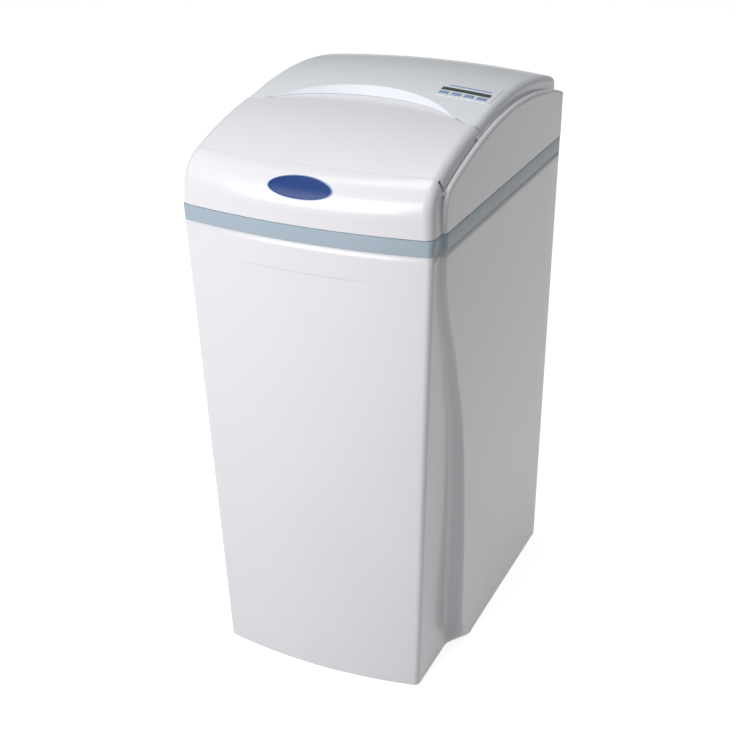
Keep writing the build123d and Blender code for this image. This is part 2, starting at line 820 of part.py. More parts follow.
# Display and keys: upright openings through the curved deck.
panel_top = deck_block(-panel_stand)
key_rows = [(panel_x + (index - (key_count - 1) / 2) * key_pitch, panel_y + key_lead)
            for index in range(key_count)]
window_spot = (panel_x, panel_y + window_lead)
board_top_z = board_z + board_thickness
lobe_spots = [(panel_x - 29, panel_y + panel_depth / 2 + 12),
              (panel_x + 29, panel_y + panel_depth / 2 + 12),
              (panel_x + 31, panel_y - panel_depth / 2 - 12)]
low_z = housing_base_z - 5
high_z = deck_apex_z + 5

with BuildPart() as deck_opening:
    add(plan_prism(panel_x, panel_y, panel_width + 2 * panel_gap, panel_depth + 2 * panel_gap,
                   panel_corner + panel_gap, low_z, high_z))

with BuildPart() as deck_bosses:
    for x, y in lobe_spots:
        add(rod_z(x, y, lobe_radius, lobe_z, deck_apex_z))
    add(deck_inner, mode=Mode.INTERSECT)
    for x, y in lobe_spots:
        add(rod_z(x, y, controller_screw_radius, lobe_z - 1, lobe_z + screw_depth), mode=Mode.SUBTRACT)

with BuildPart() as control_deck:
    add(deck_shell.part)
    add(deck_opening.part, mode=Mode.SUBTRACT)
    add(deck_bosses.part)
save(control_deck.part, "control_deck")

with BuildPart() as display_bezel:
    add(plan_prism(panel_x, panel_y, panel_width, panel_depth, panel_corner, low_z, high_z))
    add(panel_top, mode=Mode.INTERSECT)
    add(deck_inner, mode=Mode.SUBTRACT)
    with BuildSketch(Plane.XY.offset(low_z)):
        with Locations(window_spot):
            Rectangle(window_width, window_depth)
        with Locations(*key_rows):
            Rectangle(key_width + 2 * key_gap, key_depth + 2 * key_gap)
    extrude(amount=high_z - low_z, mode=Mode.SUBTRACT)
save(display_bezel.part, "display_bezel")

with BuildPart() as display_window:
    add(plan_prism(window_spot[0], window_spot[1], window_width, window_depth, 0.5, low_z, high_z))
    add(deck_block(-panel_stand + 0.2), mode=Mode.INTERSECT)
    add(deck_block(window_thickness - panel_stand), mode=Mode.SUBTRACT)
save(display_window.part, "display_window")

with BuildPart() as display_module:
    add(block(window_spot[0] - window_width / 2 + 2, window_spot[0] + window_width / 2 - 2,
              window_spot[1] - window_depth / 2 + 1, window_spot[1] + window_depth / 2 - 1, board_top_z,
              high_z))
    add(deck_block(window_thickness - panel_stand), mode=Mode.INTERSECT)
save(display_module.part, "display_module")

inner_width = panel_width - 2 * panel_rim
inner_depth = panel_depth - 2 * panel_rim
with BuildPart() as circuit_board:
    add(plan_prism(panel_x, panel_y, inner_width - 2 * housing_wall, inner_depth - 2, 2, board_z,
                   board_top_z))
    for x, y in key_rows:
        add(block(x - switch_size / 2, x + switch_size / 2, y - switch_size / 2, y + switch_size / 2,
                  board_top_z, board_top_z + switch_height))
save(circuit_board.part, "circuit_board")

post_x = inner_width / 2 - 6
post_y = inner_depth / 2 - 8
with BuildPart() as controller_housing:
    add(plan_prism(panel_x, panel_y, panel_width + 2 * panel_rim, panel_depth + 2 * panel_rim, panel_corner,
                   housing_base_z, high_z))
    add(deck_inner, mode=Mode.INTERSECT)
    add(plan_prism(panel_x, panel_y, inner_width, inner_depth, 2, housing_base_z + housing_wall, high_z),
        mode=Mode.SUBTRACT)
    with BuildSketch(Plane.XY.offset(housing_base_z + housing_wall)):
        with Locations((panel_x - post_x, panel_y - post_y), (panel_x + post_x, panel_y - post_y),
                       (panel_x - post_x, panel_y + post_y), (panel_x + post_x, panel_y + post_y)):
            Circle(post_radius)
    extrude(amount=board_z - housing_base_z - housing_wall)
    for x, y in lobe_spots:
        toward = 1 if y < panel_y else -1
        edge = panel_y - toward * (panel_depth / 2 + panel_rim)
        add(block(x - lobe_radius, x + lobe_radius, min(y, edge + toward), max(y, edge + toward),
                  lobe_z - lobe_thickness, lobe_z))
        add(rod_z(x, y, lobe_radius, lobe_z - lobe_thickness, lobe_z))
        add(rod_z(x, y, controller_screw_radius + 0.2, lobe_z - lobe_thickness - 1, lobe_z + 1),
            mode=Mode.SUBTRACT)
save(controller_housing.part, "controller_housing")

with BuildPart() as controller_screws:
    for x, y in lobe_spots:
        add(screw_up(x, y, controller_screw_radius, lobe_z - lobe_thickness, lobe_z + screw_depth))
save(controller_screws.part, "controller_screws")

key_top = deck_block(-key_stand)
key_bottom = deck_block(cover_wall + 0.1)
flange_top = deck_block(cover_wall + seat_gap)
flange_bottom = deck_block(cover_wall + seat_gap + key_flange)
key_fit = 1.2
for index, (x, y) in enumerate(key_rows):
    with BuildPart() as key_plate:
        add(plan_prism(x, y, key_width + 2 * key_fit, key_depth + 2 * key_fit, 1.5, low_z, high_z))
        add(flange_top, mode=Mode.INTERSECT)
        add(flange_bottom, mode=Mode.SUBTRACT)
    with BuildPart() as key_stem:
        add(rod_z(x, y, key_stem_radius, board_top_z + switch_height + switch_gap, high_z))
        add(key_bottom, mode=Mode.INTERSECT)
    with BuildPart() as key:
        add(plan_prism(x, y, key_width, key_depth, 1.5, low_z, high_z))
        add(key_top, mode=Mode.INTERSECT)
        add(flange_bottom, mode=Mode.SUBTRACT)
        add(key_plate.part)
        add(key_stem.part)
    save(key.part, "button_" + str(index + 1))

# Badge: an oval plaque that follows the fascia.
with BuildPart() as badge:
    with BuildSketch(Plane.XZ.offset(-front_y + 20)):
        with Locations((0, badge_z)):
            Ellipse(badge_width / 2, badge_height / 2)
    extrude(amount=-60)
    add(lid_block(-badge_thickness), mode=Mode.INTERSECT)
    add(lid_outer, mode=Mode.SUBTRACT)
save(badge.part, "badge")

# Hinge pins, one at each end of the lid.
with BuildPart() as hinge_pins:
    for side in (-1, 1):
        low = min(side * ear_inner_x, side * lug_outer_x)
        high = max(side * ear_inner_x, side * lug_outer_x)
        add(rod_x(hinge_y, hinge_z, pin_radius, low, high))
        head = side * lug_outer_x
        add(rod_x(hinge_y, hinge_z, lug_radius - 0.4, min(head, head + side * 1.5),
                  max(head, head + side * 1.5)))
save(hinge_pins.part, "hinge_pins")

with BuildPart() as cover_screws:
    for x, y in lug_spots:
        add(screw_up(x, y, cover_screw_radius, tub_top_z - lug_thickness,
                     band_top_z + cover_boss_height - 4))
save(cover_screws.part, "cover_screws")


# Media tank on its boot, with what it holds.
def tank_side(offset):
    """Height and radius points of the tank wall, from the bottom up."""
    radius = tank_radius - offset
    return [(0, tank_base_z + offset), (strainer_radius * 1.25, tank_base_z + offset),
            (radius * 0.6, tank_base_z + 6 + offset),
            (radius * 0.9, tank_base_z + 26 + offset), (radius, tank_shoulder_low),
            (radius, tank_shoulder_high), (radius * 0.88, tank_neck_z - 36 - offset),
            (radius * 0.55, tank_neck_z - 20 - offset)]


with BuildPart() as media_tank:
    outside = tank_side(0) + [(neck_radius, tank_neck_z - 18), (neck_radius, tank_neck_z)]
    inside = tank_side(tank_wall) + [(neck_bore, tank_neck_z - 18 - tank_wall), (neck_bore, tank_neck_z)]
    add(turned(outside + inside[::-1], 0, tank_y))
save(media_tank.part, "media_tank")

with BuildPart() as tank_boot:
    add(turned([(0, tub_floor), (boot_radius, tub_floor), (boot_radius, boot_height),
                (tank_radius, boot_height), (tank_radius, tank_shoulder_low - 4),
                (tank_radius * 0.93, tank_base_z + 12), (tank_radius * 0.7, tank_base_z), (0, tank_base_z)],
               0, tank_y))
save(tank_boot.part, "tank_boot")

with BuildPart() as riser_tube:
    add(rod_z(0, tank_y, riser_radius, riser_base_z, riser_top_z))
    add(rod_z(0, tank_y, riser_radius - riser_wall, riser_base_z - 1, riser_top_z + 1), mode=Mode.SUBTRACT)
save(riser_tube.part, "riser_tube")

strainer_base_z = tank_base_z + tank_wall
with BuildPart() as strainer_slots:
    for level in range(5):
        slot_z = riser_base_z - 6 + level * 6
        add(rod_z(0, tank_y, strainer_radius + 1, slot_z, slot_z + 2))
    add(rod_z(0, tank_y, strainer_radius - 2, strainer_base_z, strainer_base_z + strainer_height),
        mode=Mode.SUBTRACT)

with BuildPart() as lower_distributor:
    add(rod_z(0, tank_y, strainer_radius, strainer_base_z, strainer_base_z + strainer_height))
    add(rod_z(0, tank_y, riser_radius, riser_base_z, strainer_base_z + strainer_height + 1),
        mode=Mode.SUBTRACT)
    add(strainer_slots.part, mode=Mode.SUBTRACT)
save(lower_distributor.part, "lower_distributor")

with BuildPart() as upper_screen:
    add(rod_z(0, tank_y, strainer_radius, tank_neck_z - spigot_depth - screen_height,
              tank_neck_z - spigot_depth))
    add(rod_z(0, tank_y, riser_radius, 0, tank_neck_z), mode=Mode.SUBTRACT)
save(upper_screen.part, "upper_screen")

fill_side = tank_side(tank_wall + media_gap)
with BuildPart() as gravel_bed:
    add(turned([(strainer_radius + media_gap, strainer_base_z + media_gap)] + fill_side[1:5]
               + [(fill_side[4][0], gravel_top_z), (riser_radius + media_gap, gravel_top_z),
                  (riser_radius + media_gap, strainer_base_z + strainer_height + media_gap),
                  (strainer_radius + media_gap, strainer_base_z + strainer_height + media_gap)], 0, tank_y))
save(gravel_bed.part, "gravel_bed")

with BuildPart() as filter_media:
    add(rod_z(0, tank_y, tank_radius - tank_wall - media_gap, gravel_top_z, media_top_z))
    add(rod_z(0, tank_y, riser_radius + media_gap, gravel_top_z - 1, media_top_z + 1), mode=Mode.SUBTRACT)
save(filter_media.part, "filter_media")

oring_z = tank_neck_z - spigot_depth / 2
with BuildPart() as neck_oring:
    with Locations((0, tank_y, oring_z)):
        Torus(neck_bore - oring_radius, oring_radius)
save(neck_oring.part, "neck_oring")

# Valve body: collar and spigot on the tank, column, piston bore along X and two ports to the rear.
collar_top_z = valve_base_z + collar_height
with BuildPart() as oring_groove:
    add(rod_z(0, tank_y, neck_bore + 1, oring_z - oring_radius, oring_z + oring_radius))
    add(rod_z(0, tank_y, neck_bore - 2 * oring_radius, oring_z - 2 * oring_radius,
              oring_z + 2 * oring_radius),
        mode=Mode.SUBTRACT)

with BuildPart() as valve_body:
    add(rod_z(0, tank_y, collar_radius, valve_base_z, collar_top_z))
    add(rod_z(0, tank_y, neck_bore, valve_base_z - spigot_depth, valve_base_z))
    add(block(-column_half, column_half, tank_y - column_depth / 2, tank_y + column_depth / 2,
              collar_top_z - 1, bore_z))
    add(rod_x(tank_y, bore_z, barrel_radius, barrel_left_x, barrel_right_x))
    for side in (-1, 1):
        add(rod_y(side * port_x, port_z, port_radius, tank_y, port_end_y))
    add(rod_x(tank_y, bore_z, bore_radius, barrel_left_x + plug_thickness, barrel_right_x + 1),
        mode=Mode.SUBTRACT)
    add(rod_x(tank_y, bore_z, drain_bore, barrel_left_x - 1, barrel_left_x + plug_thickness + 1),
        mode=Mode.SUBTRACT)
    for side in (-1, 1):
        add(rod_y(side * port_x, port_z, port_bore, tank_y + 4, port_end_y + 1), mode=Mode.SUBTRACT)
        add(rod_z(side * port_x, tank_y + 8, drain_bore, port_z, bore_z - 8), mode=Mode.SUBTRACT)
    add(rod_z(0, tank_y, riser_radius, valve_base_z - spigot_depth - 1, riser_top_z), mode=Mode.SUBTRACT)
    add(rod_z(0, tank_y, riser_radius - riser_wall, riser_top_z - 1, bore_z - 8), mode=Mode.SUBTRACT)
    add(oring_groove.part, mode=Mode.SUBTRACT)
    add(rod_x(tank_y, bore_z, bore_radius, barrel_left_x + plug_thickness, barrel_right_x + 1),
        mode=Mode.SUBTRACT)
    for turn in range(3):
        angle = math.radians(30 + 120 * turn)
        add(rod_x(tank_y + bracket_screw_circle * math.cos(angle),
                  bore_z + bracket_screw_circle * math.sin(angle),
                  bracket_screw_radius, barrel_right_x - screw_depth, barrel_right_x + 1),
                  mode=Mode.SUBTRACT)
save(valve_body.part, "valve_body")

seal_spots = [(index - (seal_count - 1) / 2) * seal_pitch for index in range(seal_count)]
stack_left_x = barrel_left_x + plug_thickness
stack_edges = [stack_left_x] + [x + side * seal_width / 2 for x in seal_spots for side in (-1, 1)]
stack_edges = stack_edges + [barrel_right_x]
with BuildPart() as spacer_stack:
    for start, stop in zip(stack_edges[0::2], stack_edges[1::2]):
        add(rod_x(tank_y, bore_z, bore_radius, start, stop))
        add(rod_x(tank_y, bore_z, spacer_bore, start - 1, stop + 1), mode=Mode.SUBTRACT)
save(spacer_stack.part, "spacer_stack")

with BuildPart() as stack_seals:
    for x in seal_spots:
        add(rod_x(tank_y, bore_z, bore_radius, x - seal_width / 2, x + seal_width / 2))
        add(rod_x(tank_y, bore_z, piston_radius + seal_gap, x - seal_width, x + seal_width),
            mode=Mode.SUBTRACT)
save(stack_seals.part, "stack_seals")

piston_end_x = piston_start_x + piston_length
with BuildPart() as piston_waists:
    for share in (0.3, 0.7):
        middle = piston_start_x + piston_length * share
        add(rod_x(tank_y, bore_z, piston_radius + 1, middle - 4, middle + 4))
    add(rod_x(tank_y, bore_z, piston_radius - piston_groove, piston_start_x, piston_end_x),
        mode=Mode.SUBTRACT)

with BuildPart() as piston:
    add(rod_x(tank_y, bore_z, piston_radius, piston_start_x, piston_end_x))
    add(piston_waists.part, mode=Mode.SUBTRACT)
    add(rod_x(tank_y, bore_z, rod_radius, piston_end_x - 10, piston_end_x + 1), mode=Mode.SUBTRACT)
save(piston.part, "piston")

with BuildPart() as piston_rod:
    add(rod_x(tank_y, bore_z, rod_radius, piston_end_x - 10, rod_end_x))
save(piston_rod.part, "piston_rod")


def gear_outline(teeth, y, z, x, phase):
    """Toothed outline with involute flanks, on a plane across X."""
    pitch = gear_module * teeth / 2
    press = math.radians(pressure_angle)
    base = pitch * math.cos(press)
    root = pitch - 1.25 * gear_module
    start = max(base, root)
    tip = pitch + gear_module
    half = math.pi / (2 * teeth) - backlash / (4 * pitch)
    flank = []
    for radius in (root, start, (start + pitch) / 2, pitch, (pitch + tip) / 2, tip):
        angle = math.acos(min(1.0, base / radius))
        lean = half + math.tan(press) - press - math.tan(angle) + angle
        if not flank or radius > flank[-1][0] + 0.01:
            flank.append((radius, lean))
    points = []
    for tooth in range(teeth):
        middle = phase + 2 * math.pi * tooth / teeth
        for radius, lean in flank:
            points.append((y + radius * math.cos(middle - lean), z + radius * math.sin(middle - lean)))
        for radius, lean in flank[::-1]:
            points.append((y + radius * math.cos(middle + lean), z + radius * math.sin(middle + lean)))
    with BuildSketch(Plane.YZ.offset(x)) as sketch:
        with BuildLine():
            Polyline(*points, close=True)
        make_face()
    return sketch.sketch


# Drive: motor, pinion, double reduction gear and the drive gear whose threaded hub moves the rod.
reduction_z = bore_z + gear_module * (drive_teeth + small_teeth) / 2
motor_y = tank_y - gear_module * (large_teeth + pinion_teeth) / 2
up = math.pi / 2
boss_end_x = first_mesh_x + drive_face - 3
with BuildPart() as drive_cap:
    add(rod_x(tank_y, bore_z, cap_flange_radius, barrel_right_x, bracket_x))
    add(rod_x(tank_y, bore_z, cap_boss_radius, bracket_x, boss_end_x))
    add(rod_x(tank_y, bore_z, rod_radius + rod_gap, barrel_right_x - 1, boss_end_x + 1), mode=Mode.SUBTRACT)
    for turn in range(3):
        angle = math.radians(30 + 120 * turn)
        add(rod_x(tank_y + bracket_screw_circle * math.cos(angle),
                  bore_z + bracket_screw_circle * math.sin(angle),
                  bracket_screw_radius, barrel_right_x - 1, bracket_x + 1), mode=Mode.SUBTRACT)
save(drive_cap.part, "drive_cap")

plate_x = bracket_x + bracket_thickness
with BuildPart() as drive_bracket:
    with BuildSketch(Plane.YZ.offset(bracket_x)):
        with Locations((tank_y, bore_z)):
            Circle(cap_flange_radius)
        with Locations((motor_y, reduction_z)):
            Circle(motor_radius)
        with Locations((tank_y, reduction_z)):
            Circle(axle_radius * 3)
        make_hull()
        with Locations((tank_y, bore_z)):
            Circle(cap_boss_radius, mode=Mode.SUBTRACT)
        with Locations((motor_y, reduction_z)):
            Circle(shaft_radius * 2, mode=Mode.SUBTRACT)
        with Locations((motor_y, reduction_z - 11), (motor_y, reduction_z + 11)):
            Circle(bracket_screw_radius, mode=Mode.SUBTRACT)
        for turn in range(3):
            angle = math.radians(30 + 120 * turn)
            with Locations((tank_y + bracket_screw_circle * math.cos(angle),
                            bore_z + bracket_screw_circle * math.sin(angle))):
                Circle(bracket_screw_radius, mode=Mode.SUBTRACT)
    extrude(amount=bracket_thickness)
    add(rod_x(tank_y, reduction_z, axle_radius, plate_x - 1, second_mesh_x + second_face + 3))
save(drive_bracket.part, "drive_bracket")

with BuildPart() as axle_clip:
    add(rod_x(tank_y, reduction_z, axle_radius * 2, second_mesh_x + second_face + 0.5,
              second_mesh_x + second_face + 1.5))
    add(rod_x(tank_y, reduction_z, axle_radius, second_mesh_x, second_mesh_x + second_face + 3),
        mode=Mode.SUBTRACT)
save(axle_clip.part, "axle_clip")

with BuildPart() as drive_motor:
    add(rod_x(motor_y, reduction_z, motor_radius, bracket_x - motor_length, bracket_x))
    add(rod_x(motor_y, reduction_z, motor_radius * 0.7, bracket_x - motor_length - 8,
              bracket_x - motor_length))
    add(rod_x(motor_y, reduction_z, shaft_radius + rod_gap, bracket_x - 12, bracket_x + 1),
        mode=Mode.SUBTRACT)
    for side in (-1, 1):
        add(rod_x(motor_y, reduction_z + side * 11, bracket_screw_radius, bracket_x - 6, bracket_x + 1),
            mode=Mode.SUBTRACT)
save(drive_motor.part, "drive_motor")

with BuildPart() as motor_pinion:
    extrude(gear_outline(pinion_teeth, motor_y, reduction_z, second_mesh_x, math.pi / pinion_teeth),
            amount=second_face)
    add(rod_x(motor_y, reduction_z, shaft_radius, bracket_x - 10, second_mesh_x + 1))
save(motor_pinion.part, "motor_pinion")

with BuildPart() as reduction_gear:
    extrude(gear_outline(small_teeth, tank_y, reduction_z, first_mesh_x, -up + math.pi / small_teeth),
            amount=drive_face)
    extrude(gear_outline(large_teeth, tank_y, reduction_z, second_mesh_x, math.pi), amount=second_face)
    add(rod_x(tank_y, reduction_z, axle_radius * 2.2, plate_x + 0.5, second_mesh_x))
    add(rod_x(tank_y, reduction_z, axle_radius + axle_gap, plate_x, second_mesh_x + second_face + 1),
        mode=Mode.SUBTRACT)
save(reduction_gear.part, "reduction_gear")

with BuildPart() as drive_gear:
    extrude(gear_outline(drive_teeth, tank_y, bore_z, first_mesh_x, up), amount=drive_face)
    add(rod_x(tank_y, bore_z, cap_boss_radius + axle_gap, first_mesh_x - 1, boss_end_x + 0.5),
        mode=Mode.SUBTRACT)
    add(rod_x(tank_y, bore_z, rod_radius + rod_gap, first_mesh_x, first_mesh_x + drive_face + 1),
        mode=Mode.SUBTRACT)
save(drive_gear.part, "drive_gear")

with BuildPart() as bracket_screws:
    for turn in range(3):
        angle = math.radians(30 + 120 * turn)
        add(screw_x(tank_y + bracket_screw_circle * math.cos(angle),
                    bore_z + bracket_screw_circle * math.sin(angle),
                    bracket_screw_radius, barrel_right_x - screw_depth, plate_x))
save(bracket_screws.part, "bracket_screws")

with BuildPart() as motor_screws:
    for side in (-1, 1):
        add(screw_x(motor_y, reduction_z + side * 11, bracket_screw_radius, bracket_x - 6, plate_x))
save(motor_screws.part, "motor_screws")

# Air draw in front of the valve body.
column_front_y = tank_y - column_depth / 2
air_y = injector_front_y + 7
with BuildPart() as injector_body:
    add(rod_y(injector_x, port_z, injector_radius, injector_front_y, column_front_y))
    add(rod_y(injector_x, port_z, injector_radius - 4, injector_front_y - 1, column_front_y - 4),
        mode=Mode.SUBTRACT)
save(injector_body.part, "injector_body")

with BuildPart() as injector_cap:
    add(rod_y(injector_x, port_z, injector_cap_radius, injector_front_y - injector_cap_depth,
              injector_front_y))
save(injector_cap.part, "injector_cap")

with BuildPart() as air_tube:
    with BuildLine() as air_route:
        FilletPolyline((injector_x - injector_radius + 0.5, air_y, port_z), (air_valve_x, air_y, port_z),
                       (air_valve_x, air_y, air_valve_z), radius=air_turn_radius)
    with BuildSketch(Plane(origin=air_route.line @ 0, z_dir=air_route.line % 0)):
        Circle(air_tube_radius)
        Circle(air_tube_radius - air_tube_wall, mode=Mode.SUBTRACT)
    sweep(path=air_route.line)
    add(rod_y(injector_x, port_z, injector_radius, injector_front_y - 1, column_front_y),
        mode=Mode.SUBTRACT)
save(air_tube.part, "air_tube")

with BuildPart() as air_check_valve:
    add(rod_z(air_valve_x, air_y, air_valve_radius, air_valve_z, air_valve_z + air_valve_height))
    add(rod_z(air_valve_x, air_y, air_valve_radius - 2, air_valve_z + 3,
              air_valve_z + air_valve_height - 3),
        mode=Mode.SUBTRACT)
    add(rod_z(air_valve_x, air_y, air_tube_radius - air_tube_wall, air_valve_z - 1,
              air_valve_z + air_valve_height + 1), mode=Mode.SUBTRACT)
save(air_check_valve.part, "air_check_valve")

# Drain line from the end of the piston bore to a barbed fitting in the rear wall.
with BuildPart() as drain_elbow:
    with BuildLine() as drain_route:
        FilletPolyline((barrel_left_x, tank_y, drain_z), (drain_x, tank_y, drain_z),
                       (drain_x, drain_elbow_end, drain_z), radius=drain_turn)
    with BuildSketch(Plane(origin=drain_route.line @ 0, z_dir=drain_route.line % 0)):
        Circle(drain_radius)
        Circle(drain_bore - 0.5, mode=Mode.SUBTRACT)
    sweep(path=drain_route.line)
    add(rod_y(drain_x, drain_z, barb_radius, drain_elbow_end, drain_elbow_end + 12))
    add(rod_y(drain_x, drain_z, drain_bore - 0.5, drain_elbow_end - 1, drain_elbow_end + 13),
        mode=Mode.SUBTRACT)
save(drain_elbow.part, "drain_elbow")

fitting_start_y = rear_y - wall - 16
with BuildPart() as drain_tube:
    add(rod_y(drain_x, drain_z, barb_radius + drain_tube_wall, drain_elbow_end, fitting_start_y + 10))
    add(rod_y(drain_x, drain_z, barb_radius, drain_elbow_end - 1, fitting_start_y + 11), mode=Mode.SUBTRACT)
save(drain_tube.part, "drain_tube")

with BuildPart() as drain_fitting:
    add(rod_y(drain_x, drain_z, barb_radius, fitting_start_y, drain_end_y))
    add(rod_y(drain_x, drain_z, barb_radius + 1.65, rear_y - wall - 4, rear_y + 6))
    add(rod_y(drain_x, drain_z, fitting_flange, rear_y - wall - 3, rear_y - wall))
    add(rod_y(drain_x, drain_z, fitting_flange, rear_y, rear_y + 5))
    add(rod_y(drain_x, drain_z, drain_bore - 0.5, fitting_start_y - 1, drain_end_y + 1), mode=Mode.SUBTRACT)
save(drain_fitting.part, "drain_fitting")

# Bypass valve behind the valve body: two straight ways, a cross way and two rotors.
with BuildPart() as bypass_body:
    for side in (-1, 1):
        add(rod_y(side * port_x, port_z, bypass_tube_radius, bypass_start_y, bypass_end_y))
        add(rod_z(side * port_x, rotor_y, rotor_housing, rotor_low_z - rotor_floor, rotor_high_z))
    add(rod_x(rotor_y, port_z, cross_radius, -port_x, port_x))
    for side in (-1, 1):
        add(rod_y(side * port_x, port_z, port_bore, bypass_start_y - 1, rotor_y), mode=Mode.SUBTRACT)
        add(rod_y(side * port_x, port_z, stub_bore, rotor_y, bypass_end_y + 1), mode=Mode.SUBTRACT)
        add(rod_y(side * port_x, port_z, stub_seat_radius, bypass_end_y - stub_depth, bypass_end_y + 1),
            mode=Mode.SUBTRACT)
        add(rod_z(side * port_x, rotor_y, rotor_radius + rotor_gap, rotor_low_z, rotor_high_z + 1),
            mode=Mode.SUBTRACT)
    add(rod_x(rotor_y, port_z, cross_bore, -port_x, port_x), mode=Mode.SUBTRACT)
save(bypass_body.part, "bypass_body")

for side, name in ((-1, "inlet"), (1, "outlet")):
    with BuildPart() as rotor:
        add(rod_z(side * port_x, rotor_y, rotor_radius, rotor_low_z + handle_gap,
                  rotor_high_z + handle_gap))
        add(rod_y(side * port_x, port_z, port_bore - 0.5, rotor_y - 20, rotor_y + 20), mode=Mode.SUBTRACT)
        add(rod_x(rotor_y, port_z, cross_bore, min(side * port_x, side * (port_x + 20)),
                  max(side * port_x, side * (port_x + 20))), mode=Mode.SUBTRACT)
    save(rotor.part, "bypass_" + name + "_rotor")
    with BuildPart() as handle:
        with BuildSketch(Plane.XY.offset(rotor_high_z + handle_gap)):
            with Locations((side * port_x, rotor_y)):
                Circle(handle_width)
            with Locations((side * port_x, rotor_y - handle_length / 2)):
                Rectangle(handle_width, handle_length)
        extrude(amount=handle_thickness)
    save(handle.part, name + "_handle")

with BuildPart() as quick_clips:
    for side in (-1, 1):
        add(rod_y(side * port_x, port_z, clip_radius + clip_thickness, port_end_y - 5, port_end_y + 5))
    for side in (-1, 1):
        add(rod_y(side * port_x, port_z, port_radius, port_end_y - 6, port_end_y + 6), mode=Mode.SUBTRACT)
        add(block(side * port_x - port_radius * 0.6, side * port_x + port_radius * 0.6, port_end_y - 6,
                  port_end_y + 6, port_z - 30, port_z), mode=Mode.SUBTRACT)
save(quick_clips.part, "quick_clips")

for side, name in ((-1, "inlet"), (1, "outlet")):
    with BuildPart() as stub:
        add(rod_y(side * port_x, port_z, stub_seat_radius, bypass_end_y - stub_depth, bypass_end_y))
        add(rod_y(side * port_x, port_z, stub_radius, bypass_end_y, stub_end_y))
        add(rod_y(side * port_x, port_z, stub_bore, bypass_end_y - stub_depth - 1, stub_end_y + 1),
            mode=Mode.SUBTRACT)
    save(stub.part, name + "_stub")

with BuildPart() as power_socket:
    add(rod_y(socket_x, socket_z, socket_radius, rear_y - socket_length, rear_y))
    add(rod_y(socket_x, socket_z, socket_flange, rear_y, rear_y + 2))
    add(rod_y(socket_x, socket_z, socket_bore, rear_y - socket_length + 4, rear_y + 3), mode=Mode.SUBTRACT)
save(power_socket.part, "power_socket")
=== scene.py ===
import math

import bmesh
import bpy
from bpy.props import FloatProperty, FloatVectorProperty, PointerProperty
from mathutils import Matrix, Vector


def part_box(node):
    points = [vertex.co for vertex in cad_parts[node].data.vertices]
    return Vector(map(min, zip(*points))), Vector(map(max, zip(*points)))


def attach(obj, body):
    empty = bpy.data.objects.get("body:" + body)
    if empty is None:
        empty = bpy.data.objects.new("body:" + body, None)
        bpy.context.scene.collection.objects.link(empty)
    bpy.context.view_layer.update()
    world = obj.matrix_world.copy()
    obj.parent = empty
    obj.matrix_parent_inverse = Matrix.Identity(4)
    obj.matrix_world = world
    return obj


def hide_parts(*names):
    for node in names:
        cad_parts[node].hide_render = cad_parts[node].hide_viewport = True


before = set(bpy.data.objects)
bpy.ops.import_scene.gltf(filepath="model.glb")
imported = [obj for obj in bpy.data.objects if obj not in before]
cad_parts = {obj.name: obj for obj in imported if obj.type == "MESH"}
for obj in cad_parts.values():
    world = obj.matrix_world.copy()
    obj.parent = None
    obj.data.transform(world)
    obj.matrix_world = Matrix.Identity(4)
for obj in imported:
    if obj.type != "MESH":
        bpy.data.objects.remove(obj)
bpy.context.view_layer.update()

bl_info = {
    "name": "Cabinet iron reduction filter",
    "version": (1, 0, 0),
    "blender": (4, 5, 0),
    "location": "3D View > Sidebar > Filter",
    "description": "Builds the visible pieces, finishes and stage of a cabinet iron reduction filter",
    "category": "Object",
}

MM = 0.001

# Everything below is in millimetres, as the solids have it. X runs to the right, Y to the rear, Z up.
# The tub's top, the band's top, the rear wall, and how far the front's middle bows out before its sides.
TUB_TOP = 680.5
BAND_TOP = 703.0
REAR_Y = 260.0
BOW = 17.5
# Half width of the tub, half width over its cheeks, and front line: at the floor and at the band's top.
CORE_HALF = (155.0, 177.0)
CHEEK_HALF = (178.0, 182.0)
FRONT_Y = (-226.0, -260.0)
# The cheek's S-shaped front edge: its outer line at the top and low down, and how it swings between them.
STEP_TOP_Y = -204.0
STEP_LOW_Y = -96.0
STEP_SWING = ((650.0, 0.0), (495.0, 0.46), (375.0, 0.80), (150.0, 1.0))
STEP_OUTER_X = 186.0
STEP_INNER_X = 150.0
# How far the inner line leads the outer one, at the floor and from STEP_LEAD_TOP up.
STEP_LEAD = (17.0, 33.0)
STEP_LEAD_TOP = 260.0
# Below this height the step curls round a quarter circle of the same radius.
STEP_FOOT = 60.0
STEP_FOOT_INNER_SHARE = 0.15
# Corner radii of the outline, at the floor and at the band's top: the front corner and the step's inner one.
FRONT_CORNER = (15.0, 14.0)
STEP_INNER_CORNER = (24.0, 12.0)
STEP_OUTER_CORNER = 12.0
REAR_CORNER = 8.0
# The pipe notch in the rear wall: half its width, and its lower edge.
NOTCH_HALF = 75.0
NOTCH_Z = 555.0
# Screw lugs inside the side walls: where they stand, and their size.
LUG_PLACES_Y = (-120.0, 200.0)
LUG_OUTER_X = 179.0
LUG_REACH = 24.0
LUG_WIDTH = 16.0
# The fascia's nose radius, and the circle of the lid's crown that it runs into.
NOSE_RADIUS = 50.0
CROWN_RADIUS = 570.0
CROWN_Y = -10.0
CROWN_Z = 237.7


def mix(a, b, t):
    """A value between a and b."""
    return a + (b - a) * t


def linear(hex_colour, alpha=1.0):
    """An sRGB hex colour as linear red, green, blue and alpha."""
    values = []
    for start in (1, 3, 5):
        channel = int(hex_colour[start:start + 2], 16) / 255
        values.append(channel / 12.92 if channel <= 0.04045 else ((channel + 0.055) / 1.055) ** 2.4)
    return (*values, alpha)


